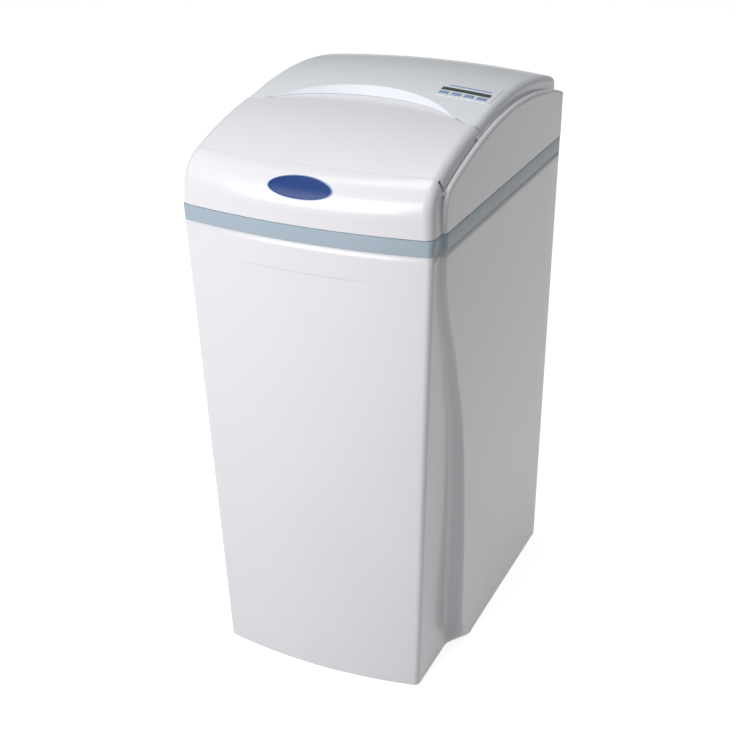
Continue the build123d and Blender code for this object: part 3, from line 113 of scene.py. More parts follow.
def add_node(tree, kind, settings=(), inputs=(), links=()):
    """Adds a shader node, sets its properties and sockets, and links its inputs from other sockets."""
    node = tree.nodes.new(kind)
    for name, value in dict(settings).items():
        setattr(node, name, value)
    for key, value in dict(inputs).items():
        node.inputs[key].default_value = value
    for key, socket in dict(links).items():
        tree.links.new(socket, node.inputs[key])
    return node


def material(name):
    """A new material with an empty node tree and an output, ready for its shader."""
    made = bpy.data.materials.new(name)
    made.use_nodes = True
    made.node_tree.nodes.clear()
    output = add_node(made.node_tree, "ShaderNodeOutputMaterial")
    return made, made.node_tree, output


def two_shades(tree, light_hex, dark_hex, pattern):
    """Mixes a lighter and a darker shade by a pattern."""
    return add_node(tree, "ShaderNodeMix", {"data_type": "RGBA"},
                    {6: linear(light_hex), 7: linear(dark_hex)}, {0: pattern})


def moulded_plastic(name, light_hex, dark_hex, roughness, grain_mm, grain_depth_mm, coat, ior):
    """Injection-moulded plastic: slow colour drift from the mould, and a fine even grain on the surface."""
    made, tree, output = material(name)
    place = add_node(tree, "ShaderNodeTexCoord")
    drift = add_node(tree, "ShaderNodeTexNoise", {"noise_dimensions": "3D"},
                     {"Scale": 1 / (140 * MM), "Detail": 2.0}, {"Vector": place.outputs["Object"]})
    colour = two_shades(tree, light_hex, dark_hex, drift.outputs["Fac"])
    grain = add_node(tree, "ShaderNodeTexNoise", {"noise_dimensions": "3D"},
                     {"Scale": 1 / (grain_mm * MM), "Detail": 3.0, "Roughness": 0.6},
                     {"Vector": place.outputs["Object"]})
    bump = add_node(tree, "ShaderNodeBump", {}, {"Strength": 0.35, "Distance": grain_depth_mm * MM},
                    {"Height": grain.outputs["Fac"]})
    gloss = add_node(tree, "ShaderNodeMapRange", {}, {"To Min": roughness - 0.03, "To Max": roughness + 0.05},
                     {"Value": grain.outputs["Fac"]})
    shader = add_node(tree, "ShaderNodeBsdfPrincipled", {},
                      {"IOR": ior, "Coat Weight": coat, "Coat Roughness": 0.08},
                      {"Base Color": colour.outputs[2], "Roughness": gloss.outputs["Result"],
                       "Normal": bump.outputs["Normal"]})
    tree.links.new(shader.outputs["BSDF"], output.inputs["Surface"])
    return made


def brushed_metal(name, light_hex, dark_hex, roughness, streak_mm, along):
    """Drawn or brushed metal: fine streaks that run along one direction."""
    made, tree, output = material(name)
    place = add_node(tree, "ShaderNodeTexCoord")
    stretch = [1 / (streak_mm * MM)] * 3
    stretch[along] = 1 / (streak_mm * 40 * MM)
    shaped = add_node(tree, "ShaderNodeMapping", {}, {"Scale": stretch}, {"Vector": place.outputs["Object"]})
    streaks = add_node(tree, "ShaderNodeTexNoise", {"noise_dimensions": "3D"},
                       {"Scale": 1.0, "Detail": 3.0}, {"Vector": shaped.outputs["Vector"]})
    colour = two_shades(tree, light_hex, dark_hex, streaks.outputs["Fac"])
    gloss = add_node(tree, "ShaderNodeMapRange", {}, {"To Min": roughness - 0.06, "To Max": roughness + 0.1},
                     {"Value": streaks.outputs["Fac"]})
    bump = add_node(tree, "ShaderNodeBump", {}, {"Strength": 0.25, "Distance": 0.05 * MM},
                    {"Height": streaks.outputs["Fac"]})
    shader = add_node(tree, "ShaderNodeBsdfPrincipled", {}, {"Metallic": 1.0},
                      {"Base Color": colour.outputs[2], "Roughness": gloss.outputs["Result"],
                       "Normal": bump.outputs["Normal"]})
    tree.links.new(shader.outputs["BSDF"], output.inputs["Surface"])
    return made


def loose_grains(name, light_hex, dark_hex, grain_mm):
    """A bed of grains or pebbles: each cell has its own shade and its own rounded top."""
    made, tree, output = material(name)
    place = add_node(tree, "ShaderNodeTexCoord")
    cells = add_node(tree, "ShaderNodeTexVoronoi", {"feature": "F1"}, {"Scale": 1 / (grain_mm * MM)},
                     {"Vector": place.outputs["Object"]})
    colour = two_shades(tree, light_hex, dark_hex, cells.outputs["Color"])
    bump = add_node(tree, "ShaderNodeBump", {"invert": True},
                    {"Strength": 0.9, "Distance": grain_mm * 0.5 * MM},
                    {"Height": cells.outputs["Distance"]})
    shader = add_node(tree, "ShaderNodeBsdfPrincipled", {}, {"Roughness": 0.85},
                      {"Base Color": colour.outputs[2], "Normal": bump.outputs["Normal"]})
    tree.links.new(shader.outputs["BSDF"], output.inputs["Surface"])
    return made


def wound_fibreglass(name, light_hex, dark_hex, roving_mm):
    """Filament-wound glass fibre in resin: crossing diagonal rovings under a dull gloss."""
    made, tree, output = material(name)
    place = add_node(tree, "ShaderNodeTexCoord")
    bands = []
    for turn in (0.9, -0.9):
        shaped = add_node(tree, "ShaderNodeMapping", {}, {"Rotation": (turn, 0.0, 0.0)},
                          {"Vector": place.outputs["Object"]})
        # One full wave of the texture is pi / 10 of its own unit, so the spacing comes out in millimetres.
        bands.append(add_node(tree, "ShaderNodeTexWave", {"bands_direction": "Z"},
                              {"Scale": 0.314 / (roving_mm * MM), "Distortion": 1.5, "Detail": 2.0},
                              {"Vector": shaped.outputs["Vector"]}))
    both = add_node(tree, "ShaderNodeMath", {"operation": "MULTIPLY"}, {},
                    {0: bands[0].outputs["Fac"], 1: bands[1].outputs["Fac"]})
    colour = two_shades(tree, light_hex, dark_hex, both.outputs["Value"])
    bump = add_node(tree, "ShaderNodeBump", {}, {"Strength": 0.4, "Distance": 0.3 * MM},
                    {"Height": both.outputs["Value"]})
    shader = add_node(tree, "ShaderNodeBsdfPrincipled", {},
                      {"Roughness": 0.38, "IOR": 1.52, "Coat Weight": 0.3},
                      {"Base Color": colour.outputs[2], "Normal": bump.outputs["Normal"]})
    tree.links.new(shader.outputs["BSDF"], output.inputs["Surface"])
    return made


def dark_glass(name, glass_hex, glow_hex):
    """The acrylic window over a liquid-crystal display: dark, even and very smooth."""
    made, tree, output = material(name)
    place = add_node(tree, "ShaderNodeTexCoord")
    cloud = add_node(tree, "ShaderNodeTexNoise", {}, {"Scale": 1 / (30 * MM), "Detail": 1.0},
                     {"Vector": place.outputs["Object"]})
    colour = two_shades(tree, glass_hex, glow_hex, cloud.outputs["Fac"])
    shader = add_node(tree, "ShaderNodeBsdfPrincipled", {},
                      {"Roughness": 0.08, "IOR": 1.49, "Coat Weight": 0.4},
                      {"Base Color": colour.outputs[2]})
    tree.links.new(shader.outputs["BSDF"], output.inputs["Surface"])
    return made


def smooth(t):
    """A soft step from 0 to 1."""
    t = min(max(t, 0.0), 1.0)
    return t * t * (3 - 2 * t)


def swing(z):
    """How far the S-shaped edge has swung back at a height, from 0 at the top to 1 low down."""
    if z >= STEP_SWING[0][0]:
        return 0.0
    if z <= STEP_SWING[-1][0]:
        return 1.0
    slopes = [0.0]
    for before, after in zip(STEP_SWING, STEP_SWING[2:]):
        slopes.append((after[1] - before[1]) / (after[0] - before[0]))
    slopes.append(0.0)
    for index, (high, low) in enumerate(zip(STEP_SWING, STEP_SWING[1:])):
        if z >= low[0]:
            span = low[0] - high[0]
            t = (z - high[0]) / span
            return ((2 * t ** 3 - 3 * t ** 2 + 1) * high[1] + (t ** 3 - 2 * t ** 2 + t) * span * slopes[index]
                    + (3 * t ** 2 - 2 * t ** 3) * low[1] + (t ** 3 - t ** 2) * span * slopes[index + 1])
    return 1.0


def rounded(corners, arc_steps):
    """The places along an open polyline of (x, y, radius, steps to the next), with its corners rounded."""
    count = len(corners)
    turns = []
    for index in range(1, count - 1):
        here = Vector(corners[index][:2])
        before = Vector(corners[index - 1][:2]) - here
        after = Vector(corners[index + 1][:2]) - here
        half = (math.pi - before.angle(after)) / 2
        reach = min(corners[index][2] * math.tan(half), 0.45 * before.length, 0.45 * after.length)
        turns.append((here, before.normalized(), after.normalized(), half, reach))
    places = [Vector(corners[0][:2])]
    for index, (here, before, after, half, reach) in enumerate(turns):
        start = here + before * reach
        if corners[index + 1][2] == 0:
            start = here
        last = places[-1]
        steps = corners[index][3]
        for step in range(1, steps + 1):
            places.append(last.lerp(start, step / steps))
        if corners[index + 1][2] == 0:
            continue
        radius = reach / math.tan(half)
        inward = (after + before * math.cos(2 * half)).normalized() if half > 0.001 else after
        for step in range(1, arc_steps + 1):
            angle = 2 * half * step / arc_steps
            places.append(start - before * radius * math.sin(angle) + inward * radius * (1 - math.cos(angle)))
    last = places[-1]
    end = Vector(corners[-1][:2])
    steps = corners[-2][3]
    for step in range(1, steps + 1):
        places.append(last.lerp(end, step / steps))
    return places


def tub_half_ring(z, inset):
    """The right half of the tub's outline at a height, from the front's middle to the back's middle."""
    rise = z / BAND_TOP
    half = mix(*CORE_HALF, rise) - inset
    wide = mix(*CHEEK_HALF, rise) - inset
    front = mix(*FRONT_Y, rise) + inset
    outer_y = mix(STEP_TOP_Y, STEP_LOW_Y, swing(z))
    inner_y = outer_y - mix(*STEP_LEAD, smooth(z / STEP_LEAD_TOP))
    if z < STEP_FOOT:
        curl = STEP_FOOT - math.sqrt(STEP_FOOT ** 2 - (STEP_FOOT - z) ** 2)
        outer_y += curl
        inner_y += curl * STEP_FOOT_INNER_SHARE
    slope = (outer_y - inner_y) / (STEP_OUTER_X - STEP_INNER_X)
    corners = []
    for index in range(10):
        x = half * index / 10
        corners.append((x, front + BOW * (x / half) ** 2, 0, 1))
    corners.append((half, front + BOW, mix(*FRONT_CORNER, rise), 10))
    step_inset = inset * 0.4
    for x, radius, steps in ((half, mix(*STEP_INNER_CORNER, rise), 5), (wide, STEP_OUTER_CORNER, 16)):
        corners.append((x, inner_y + slope * (x - STEP_INNER_X) + step_inset, radius, steps))
    corners.append((wide, REAR_Y - inset, REAR_CORNER, 5))
    corners.append((NOTCH_HALF, REAR_Y - inset, 0, 4))
    corners.append((0.0, REAR_Y - inset, 0, 4))
    return rounded(corners, 8)


def sheet(columns, rows, place):
    """A grid of faces, each corner moved to where place(column, row) says, in millimetres."""
    mesh = bmesh.new()
    bmesh.ops.create_grid(mesh, x_segments=columns, y_segments=rows, size=1.0)
    for vert in mesh.verts:
        column = round((vert.co.x + 1) / 2 * columns)
        row = round((vert.co.y + 1) / 2 * rows)
        vert.co = Vector(place(column, row)) * MM
    return mesh


def mirrored_sheet(columns, rows, place):
    """A right half and its mirror image, joined along the middle."""
    mesh = sheet(columns, rows, place)
    bmesh.ops.mirror(mesh, geom=mesh.verts[:] + mesh.edges[:] + mesh.faces[:], axis="X", merge_dist=0.00001)
    bmesh.ops.remove_doubles(mesh, verts=mesh.verts[:], dist=0.00001)
    bmesh.ops.recalc_face_normals(mesh, faces=mesh.faces[:])
    return mesh


def piece(mesh, name, finish, nodes, wall=0.0, sharp_angle=40.0):
    """Makes an object of a mesh, finishes it, rides it on the cabinet's body and puts it in place of nodes."""
    data = bpy.data.meshes.new(name)
    mesh.to_mesh(data)
    mesh.free()
    data.shade_smooth()
    data.set_sharp_from_angle(angle=math.radians(sharp_angle))
    made = bpy.data.objects.new(name, data)
    bpy.context.scene.collection.objects.link(made)
    data.materials.append(FINISHES[finish])
    if wall:
        shell = made.modifiers.new("wall", "SOLIDIFY")
        shell.thickness = wall * MM
        shell.offset = -1.0
    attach(made, "body")
    if nodes:
        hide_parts(*nodes)


def outward(mesh, axis, sign):
    """Makes the faces of an open sheet look to one side of an axis."""
    bmesh.ops.recalc_face_normals(mesh, faces=mesh.faces[:])
    if mesh.faces[0].normal[axis] * sign < 0:
        bmesh.ops.reverse_faces(mesh, faces=mesh.faces[:])


def lugs(mesh, low, high):
    """Four plain screw lugs inside the side walls, between two heights."""
    for side in (-1, 1):
        for y in LUG_PLACES_Y:
            made = bmesh.ops.create_cube(mesh, size=1.0)["verts"]
            middle = Vector((side * (LUG_OUTER_X - LUG_REACH / 2), y, (high + low) / 2))
            bmesh.ops.scale(mesh, vec=Vector((LUG_REACH, LUG_WIDTH, high - low)) * MM, verts=made)
            bmesh.ops.translate(mesh, vec=middle * MM, verts=made)
            upright = [edge for edge in mesh.edges if edge.verts[0] in made and edge.verts[1] in made
                       and abs(edge.verts[0].co.z - edge.verts[1].co.z) > 0.001]
            bmesh.ops.bevel(mesh, geom=upright, offset=2.5 * MM, segments=3, profile=0.5,
                            affect="EDGES", material=-1)


FINISHES = {}


def make_finishes():
    """Every finish of the filter, by name."""
    plastics = {
        # Glossy white ABS of the tub and the cover: bright, cool and even, with soft highlights.
        "white_abs": ("#EFEDF2", "#EAE8EE", 0.30, 2.4, 0.02, 0.25, 1.53),
        # The lid and the deck: the same white plastic with a little less gloss; their cooler, bluer tint (a
        # touch darker on the lid) is painted shade of faces that turn up, away from the front light.
        "lid_abs_painted_shade": ("#EEEDF4", "#E9E8F0", 0.32, 2.4, 0.02, 0.2, 1.53),
        "deck_abs_painted_shade": ("#EEF0F6", "#E9EBF3", 0.32, 2.4, 0.02, 0.2, 1.53),
        # The blue-grey band: satin ABS, duller than the white.
        "band_abs": ("#AEBECB", "#A3B4C1", 0.38, 1.8, 0.03, 0.1, 1.5),
        # The badge's field: deep blue ABS, satin, so that it stays dark under the lights.
        "badge_blue": ("#0B3C86", "#083174", 0.5, 3.0, 0.01, 0.05, 1.5),
        # The badge's moulded rim: a paler blue that catches the light.
        "badge_rim": ("#8FB0DC", "#7FA3D4", 0.28, 2.0, 0.01, 0.3, 1.5),
        # Printed ink on the display panel: pale blue, flat and even.
        "label_ink": ("#6F97CC", "#658DC4", 0.45, 1.0, 0.01, 0.0, 1.5),
        # Glass-filled nylon of the valve: nearly black, with a dull, coarse surface.
        "black_nylon": ("#26272A", "#1C1D20", 0.5, 1.2, 0.06, 0.0, 1.5),
        # Black ABS of the housings: smoother than the nylon.
        "black_abs": ("#2A2B2E", "#212225", 0.4, 1.5, 0.05, 0.0, 1.5),
        # Uncoloured acetal of the gears: milky ivory, waxy.
        "natural_acetal": ("#E6E3D8", "#DAD6C8", 0.42, 1.0, 0.03, 0.0, 1.5),
        # White PVC of the tubes in the tank: slightly grey, satin.
        "white_pvc": ("#DDDDD8", "#D3D3CC", 0.4, 1.6, 0.03, 0.0, 1.5),
        # Milky polyethylene tube: pale grey-green, smooth.
        "clear_tube": ("#C9D2D2", "#BCC6C6", 0.3, 4.0, 0.02, 0.2, 1.5),
        # Red nylon of the bypass handles.
        "red_nylon": ("#B3242A", "#A01C22", 0.38, 1.4, 0.04, 0.0, 1.5),
        # The keys: blue-grey ABS, satin.
        "key_abs": ("#93AACB", "#8AA1C4", 0.38, 1.2, 0.02, 0.0, 1.5),
        # Nitrile rubber of the seals: matt black.
        "seal_rubber": ("#1E1E1F", "#161617", 0.7, 0.9, 0.05, 0.0, 1.5),
        # Green solder mask over the board's glass-filled epoxy: glossy.
        "board": ("#1D6A3C", "#145430", 0.35, 1.2, 0.05, 0.3, 1.5),
    }
    for name, values in plastics.items():
        FINISHES[name] = moulded_plastic(name, *values)
    FINISHES["window"] = dark_glass("window", "#2B3A36", "#34463F")
    # Zinc-plated steel of the screws and pins, and copper of the pipe stubs, both with fine drawn streaks.
    FINISHES["zinc_steel"] = brushed_metal("zinc_steel", "#C9CCD0", "#A4A8AE", 0.3, 0.4, 0)
    FINISHES["copper_pipe"] = brushed_metal("copper_pipe", "#D69A72", "#B97A52", 0.28, 0.4, 1)
    # The tank's glass rovings, about 9 mm wide, in blue-grey resin.
    FINISHES["tank_fibreglass"] = wound_fibreglass("tank_fibreglass", "#8FA3AE", "#5E7482", 9.0)
    # Washed gravel of 3 to 6 mm, and iron-removing media of about 1 mm, drawn at 2 mm to show.
    FINISHES["gravel"] = loose_grains("gravel", "#A39683", "#6B5E4E", 5.0)
    FINISHES["filter_media"] = loose_grains("filter_media", "#5A4235", "#2E2019", 2.0)


# Which finish each solid piece wears where its own solid is shown.
NODE_FINISH = {
    "white_abs": ["cabinet", "top_cover"],
    # The lid and the deck wear tinted copies of the white plastic, whose tint is painted shade.
    "lid_abs_painted_shade": ["lid"],
    "deck_abs_painted_shade": ["control_deck", "display_bezel"],
    "band_abs": ["trim_band"],
    "badge_blue": ["badge"],
    "window": ["display_window"],
    "board": ["circuit_board"],
    "key_abs": ["button_1", "button_2", "button_3", "button_4"],
    "black_abs": ["display_module", "controller_housing", "tank_boot", "power_socket"],
    "black_nylon": ["valve_body", "drive_cap", "drive_bracket", "injector_body", "injector_cap",
                    "drain_elbow", "bypass_body"],
    "natural_acetal": ["motor_pinion", "reduction_gear", "drive_gear", "piston", "spacer_stack"],
    "white_pvc": ["riser_tube", "lower_distributor", "upper_screen", "air_check_valve", "drain_fitting",
                  "bypass_inlet_rotor", "bypass_outlet_rotor"],
    "clear_tube": ["air_tube", "drain_tube"],
    "red_nylon": ["inlet_handle", "outlet_handle"],
    "seal_rubber": ["neck_oring", "stack_seals"],
    "zinc_steel": ["hinge_pins", "cover_screws", "controller_screws", "bracket_screws", "motor_screws",
                   "axle_clip", "piston_rod", "drive_motor", "quick_clips"],
    "copper_pipe": ["inlet_stub", "outlet_stub"],
    "tank_fibreglass": ["media_tank"],
    "gravel": ["gravel_bed"],
    "filter_media": ["filter_media"],
}


def wear(solid, finish):
    """Gives a whole solid one finish."""
    solid.data.materials.clear()
    solid.data.materials.append(FINISHES[finish])


class StageSizes(bpy.types.PropertyGroup):
    """Where the camera stands, and how strong the lights are."""
    azimuth: FloatProperty(name="Azimuth", description="Camera angle round the filter", default=24.362)
    elevation: FloatProperty(name="Elevation", description="Camera angle above the horizon", default=25.807)
    distance: FloatProperty(name="Distance", description="Camera distance", default=2.1122, unit="LENGTH")
    target: FloatVectorProperty(name="Target", description="Point that the camera looks at",
                                default=(-0.0194, 0.0, 0.38729), subtype="XYZ", unit="LENGTH")
    lens: FloatProperty(name="Lens", description="Focal length on a 36 mm sensor", default=68.78)
    key_power: FloatProperty(name="Key light", description="Power of the large front light, in watts",
                             default=37.0)
    top_power: FloatProperty(name="Top light", description="Power of the light overhead, in watts",
                             default=14.5)
    sky: FloatProperty(name="Sky", description="Strength of the even light from all round", default=0.235)


class FILTER_OT_stage(bpy.types.Operator):
    """Floor, lights, sky and camera."""
    bl_idname = "filter.stage"
    bl_label = "Stage"

    def execute(self, context):
        sizes = context.scene.filter_stage
        mesh = bmesh.new()
        bmesh.ops.create_grid(mesh, x_segments=2, y_segments=2, size=12.0)
        data = bpy.data.meshes.new("floor")
        mesh.to_mesh(data)
        mesh.free()
        floor = bpy.data.objects.new("floor", data)
        context.scene.collection.objects.link(floor)
        # Pale board that the camera and reflections see as white, and that lights the filter only softly.
        made, tree, output = material("studio_floor")
        rays = add_node(tree, "ShaderNodeLightPath")
        seen = add_node(tree, "ShaderNodeMath", {"operation": "MAXIMUM"}, {},
                        {0: rays.outputs["Is Camera Ray"], 1: rays.outputs["Is Glossy Ray"]})
        lit = add_node(tree, "ShaderNodeBsdfDiffuse", {}, {"Color": (0.50, 0.48, 0.50, 1.0)})
        pale = add_node(tree, "ShaderNodeBsdfDiffuse", {}, {"Color": (0.87, 0.84, 0.86, 1.0)})
        glow = add_node(tree, "ShaderNodeEmission", {}, {"Color": (1.0, 1.0, 1.0, 1.0), "Strength": 0.78})
        both = add_node(tree, "ShaderNodeAddShader", {}, {}, {0: pale.outputs[0], 1: glow.outputs[0]})
        either = add_node(tree, "ShaderNodeMixShader", {}, {},
                          {0: seen.outputs[0], 1: lit.outputs[0], 2: both.outputs[0]})
        tree.links.new(either.outputs[0], output.inputs["Surface"])
        floor.data.materials.append(made)

        world = bpy.data.worlds.new("studio_sky")
        context.scene.world = world
        world.use_nodes = True
        tree = world.node_tree
        tree.nodes.clear()
        rays = add_node(tree, "ShaderNodeLightPath")
        seen = add_node(tree, "ShaderNodeMath", {"operation": "MAXIMUM"}, {},
                        {0: rays.outputs["Is Camera Ray"], 1: rays.outputs["Is Transmission Ray"]})
        sky = add_node(tree, "ShaderNodeBackground", {},
                       {"Color": (0.97, 1.0, 0.96, 1.0), "Strength": sizes.sky})
        white = add_node(tree, "ShaderNodeBackground", {}, {"Color": (1.0, 1.0, 1.0, 1.0), "Strength": 1.0})
        either = add_node(tree, "ShaderNodeMixShader", {}, {},
                          {0: seen.outputs[0], 1: sky.outputs[0], 2: white.outputs[0]})
        output = add_node(tree, "ShaderNodeOutputWorld")
        tree.links.new(either.outputs[0], output.inputs["Surface"])

        for name, place, aim, width, power in (
                ("key_light", (-0.68, -2.05, 1.5), (0.0, 0.0, 0.58), 1.3, sizes.key_power),
                ("top_light", (-0.2, 0.1, 2.7), (0.0, 0.0, 0.8), 1.2, sizes.top_power)):
            data = bpy.data.lights.new(name, "AREA")
            data.shape = "SQUARE"
            data.size = width
            data.energy = power
            lamp = bpy.data.objects.new(name, data)
            lamp.location = place
            lamp.rotation_euler = (Vector(aim) - Vector(place)).to_track_quat("-Z", "Y").to_euler()
            context.scene.collection.objects.link(lamp)

        turn = math.radians(sizes.azimuth)
        rise = math.radians(sizes.elevation)
        back = Vector((math.sin(turn) * math.cos(rise), -math.cos(turn) * math.cos(rise), math.sin(rise)))
        data = bpy.data.cameras.new("photo_camera")
        data.lens = sizes.lens
        data.sensor_width = 36.0
        data.clip_end = 30.0
        camera = bpy.data.objects.new("photo_camera", data)
        camera.location = Vector(sizes.target) + back * sizes.distance
        camera.rotation_euler = (-back).to_track_quat("-Z", "Y").to_euler()
        context.scene.collection.objects.link(camera)
        context.scene.camera = camera
        context.scene.view_settings.view_transform = "Standard"
        return {"FINISHED"}


class TubSizes(bpy.types.PropertyGroup):
    """Small forms of the tub and its band that a mould maker might change."""
    wall: FloatProperty(name="Wall", description="Thickness of the tub's wall in millimetres", default=4.0)
    crease_height: FloatProperty(name="Crease height", description="Height of the front's faint ledge, in mm",
                                 default=640.0)
    crease_depth: FloatProperty(name="Crease depth", description="How far the front steps back there, in mm",
                                default=1.1)
    crease_half: FloatProperty(name="Crease half width", description="Half length of the ledge, in mm",
                               default=100.0)
    shadow_depth: FloatProperty(name="Shadow line depth", description="Depth of the band's groove, in mm",
                                default=2.2)


class FILTER_OT_tub(bpy.types.Operator):
    """The tapered tub: bowed front with its ledge, cheeks with their S-shaped front, floor and pipe notch."""
    bl_idname = "filter.tub"
    bl_label = "Tub"

    def execute(self, context):
        sizes = context.scene.filter_tub
        crease = sizes.crease_height
        # Rows of the mesh: close together at the foot and round the ledge, 20 mm apart elsewhere.
        rows = {0.0, 2.0, 6.0, 12.0, 20.0, 32.0, 46.0, STEP_FOOT, NOTCH_Z, TUB_TOP, 668.0}
        rows |= {float(z) for z in range(80, 660, 20)}
        rows |= {crease + lead for lead in (-60, -40, -24, -12, -6, -3.5, -2.6, -1.7, -0.8, 0, 0.9, 2.5, 8)}
        rows = sorted(rows)
        rings = [tub_half_ring(z, 0.0) for z in rows]

        def place(column, row):
            spot = rings[row][column]
            z = rows[row]
            drop = crease - z
            window = smooth((sizes.crease_half + 6 - spot.x) / 40)
            back = sizes.crease_depth * smooth(drop / 2.6) * (1 - smooth((drop - 4) / 60)) * window
            return (spot.x, spot.y + (back if spot.y < -200 else 0.0), z)

        mesh = mirrored_sheet(len(rings[0]) - 1, len(rows) - 1, place)
        gone = []
        for face in mesh.faces:
            middle = face.calc_center_median() / MM
            if middle.y > REAR_Y - 2 and abs(middle.x) < NOTCH_HALF and middle.z > NOTCH_Z:
                gone.append(face)
        bmesh.ops.delete(mesh, geom=gone, context="FACES")
        foot = [edge for edge in mesh.edges if edge.is_boundary
                and all(vert.co.z < 0.1 * MM for vert in edge.verts)]
        bmesh.ops.contextual_create(mesh, geom=foot)
        bmesh.ops.recalc_face_normals(mesh, faces=mesh.faces[:])
        foot = [edge for edge in mesh.edges if all(vert.co.z < 0.1 * MM for vert in edge.verts)]
        bmesh.ops.bevel(mesh, geom=foot, offset=1.6 * MM, segments=3, profile=0.5,
                        affect="EDGES", material=-1)
        piece(mesh, "tub_shell", "white_abs", ["cabinet"], wall=sizes.wall)

        mesh = bmesh.new()
        lugs(mesh, TUB_TOP - 12.0, TUB_TOP)
        piece(mesh, "tub_lugs", "white_abs", ["cabinet"])
        return {"FINISHED"}


class FILTER_OT_band(bpy.types.Operator):
    """The grey-blue band round the tub, with the groove over it that makes the dark line."""
    bl_idname = "filter.band"
    bl_label = "Trim band"

    def execute(self, context):
        depth = context.scene.filter_tub.shadow_depth
        # Each row is its height, and how far it lies inside the outline.
        rows = [(TUB_TOP, 0.0), (TUB_TOP + 1, 0.0), (690.0, 0.0), (BAND_TOP - 1.7, 0.0),
                (BAND_TOP - 1.3, 0.15), (BAND_TOP - 1.1, 0.6), (BAND_TOP - 1.1, depth),
                (BAND_TOP + 0.2, depth)]
        rings = [tub_half_ring(z, inset) for z, inset in rows]

        def place(column, row):
            return (*rings[row][column], rows[row][0])

        mesh = mirrored_sheet(len(rings[0]) - 1, len(rows) - 1, place)
        piece(mesh, "band_ring", "band_abs", ["trim_band"], wall=1.6)
        mesh = bmesh.new()
        lugs(mesh, TUB_TOP, BAND_TOP)
        piece(mesh, "band_lugs", "band_abs", ["trim_band"])
        return {"FINISHED"}


class BadgeSizes(bpy.types.PropertyGroup):
    """The oval badge on the fascia."""
    rim_height: FloatProperty(name="Rim height", description="How far the rim stands over the field, in mm",
                              default=0.5)
    dome: FloatProperty(name="Dome", description="How far the middle of the field swells, in mm", default=0.5)


class FILTER_OT_badge(bpy.types.Operator):
    """The bare oval badge: a slightly domed blue field in a raised, paler rim, laid on the fascia's curve."""
    bl_idname = "filter.badge"
    bl_label = "Badge"

    def execute(self, context):
        sizes = context.scene.filter_badge
        low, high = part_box("badge")
        middle = (low + high) / 2 / MM
        half_x = (high.x - low.x) / 2 / MM
        half_z = (high.z - low.z) / 2 / MM
        rounds = 96

        def laid(x, z, stand):
            return Vector((x, fascia_y(x, middle.z + z) - stand, middle.z + z)) * MM

        # Each ring is its share of the oval's size, and how far it stands off the fascia.
        crest = 1.0 + sizes.rim_height
        field = [(share, 1.0 + sizes.dome * swell) for share, swell in
                 ((0.0, 1.0), (0.35, 0.86), (0.65, 0.5), (0.88, 0.12), (0.99, 0.0))]
        rim = [(0.955, 0.9), (0.962, crest), (0.985, crest), (1.0, 1.0), (1.0, 0.1)]
        for name, finish, rings in (("badge_field", "badge_blue", field), ("badge_rim", "badge_rim", rim)):
            mesh = bmesh.new()
            bmesh.ops.create_grid(mesh, x_segments=rounds, y_segments=len(rings) - 1, size=1.0)
            for vert in mesh.verts:
                turn = (vert.co.x + 1) / 2 * math.tau
                share, stand = rings[round((vert.co.y + 1) / 2 * (len(rings) - 1))]
                vert.co = laid(half_x * share * math.cos(turn), half_z * share * math.sin(turn), stand)
            bmesh.ops.remove_doubles(mesh, verts=mesh.verts[:], dist=0.00002)
            outward(mesh, 1, -1)
            piece(mesh, name, finish, ["badge"], wall=0.6, sharp_angle=60.0)
        return {"FINISHED"}


def fascia_y(x, z):
    """Where the fascia's front surface is at an X and a height: upright, then round its nose."""
    face = FRONT_Y[1] + BOW * (x / CORE_HALF[1]) ** 2
    middle_y = face + NOSE_RADIUS
    middle_z = CROWN_Z + math.sqrt((CROWN_RADIUS - NOSE_RADIUS) ** 2 - (middle_y - CROWN_Y) ** 2)
    if z <= middle_z:
        return face
    return middle_y - math.sqrt(NOSE_RADIUS ** 2 - (z - middle_z) ** 2)


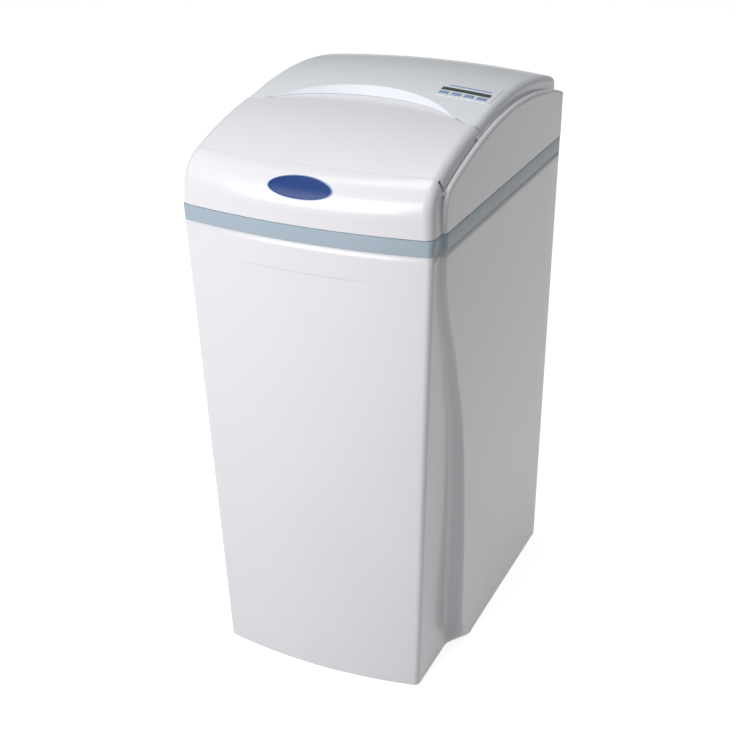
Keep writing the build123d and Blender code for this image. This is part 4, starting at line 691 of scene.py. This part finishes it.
class FILTER_OT_display_print(bpy.types.Operator):
    """The printed line of the display panel, a pale blue bar behind the window."""
    bl_idname = "filter.display_print"
    bl_label = "Display print"

    def execute(self, context):
        window_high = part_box("display_window")[1]
        line_from, line_to, line_back, line_width = 90.0, 150.0, 5.5, 3.2
        line_y = window_high.y / MM + line_back
        columns, rows = 12, 2

        def place(column, row):
            x = mix(line_from, line_to, column / columns)
            return on_top("display_bezel", x, mix(line_y, line_y + line_width, row / rows))

        mesh = sheet(columns, rows, place)
        outward(mesh, 2, 1)
        piece(mesh, "print_line", "label_ink", [], wall=0.12)
        return {"FINISHED"}


def on_top(node, x, y):
    """The place 0.1 mm over a node's top at an X and a Y, found by a ray cast down on its mesh."""
    start = Vector((x * MM, y * MM, 1.0))
    hit, place, _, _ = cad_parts[node].ray_cast(start, Vector((0.0, 0.0, -1.0)))
    if not hit:
        raise RuntimeError("no surface of %s under x %.1f, y %.1f" % (node, x, y))
    return (x, y, place.z / MM + 0.1)


class FILTER_OT_finishes(bpy.types.Operator):
    """Makes the finishes and gives each solid piece its own."""
    bl_idname = "filter.finishes"
    bl_label = "Finishes"

    def execute(self, context):
        make_finishes()
        for finish, nodes in NODE_FINISH.items():
            for node in nodes:
                wear(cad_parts[node], finish)
        return {"FINISHED"}


CLASSES = [StageSizes, TubSizes, BadgeSizes, FILTER_OT_finishes, FILTER_OT_tub, FILTER_OT_band,
           FILTER_OT_badge, FILTER_OT_display_print, FILTER_OT_stage]
STEPS = ["finishes", "tub", "band", "badge", "display_print", "stage"]


class FILTER_PT_panel(bpy.types.Panel):
    """Lists the filter's building steps."""
    bl_idname = "FILTER_PT_panel"
    bl_label = "Iron filter"
    bl_space_type = "VIEW_3D"
    bl_region_type = "UI"
    bl_category = "Filter"

    def draw(self, context):
        for step in STEPS:
            self.layout.operator("filter." + step)


def register():
    """Registers the classes and hangs the sizes on the scene."""
    for kind in CLASSES + [FILTER_PT_panel]:
        bpy.utils.register_class(kind)
    bpy.types.Scene.filter_stage = PointerProperty(type=StageSizes)
    bpy.types.Scene.filter_tub = PointerProperty(type=TubSizes)
    bpy.types.Scene.filter_badge = PointerProperty(type=BadgeSizes)


def unregister():
    """Takes the sizes and the classes away again."""
    del bpy.types.Scene.filter_stage
    del bpy.types.Scene.filter_tub
    del bpy.types.Scene.filter_badge
    for kind in reversed(CLASSES + [FILTER_PT_panel]):
        bpy.utils.unregister_class(kind)


def main():
    """Builds every piece in order."""
    register()
    for step in STEPS:
        getattr(bpy.ops.filter, step)()


if __name__ == "__main__":
    main()
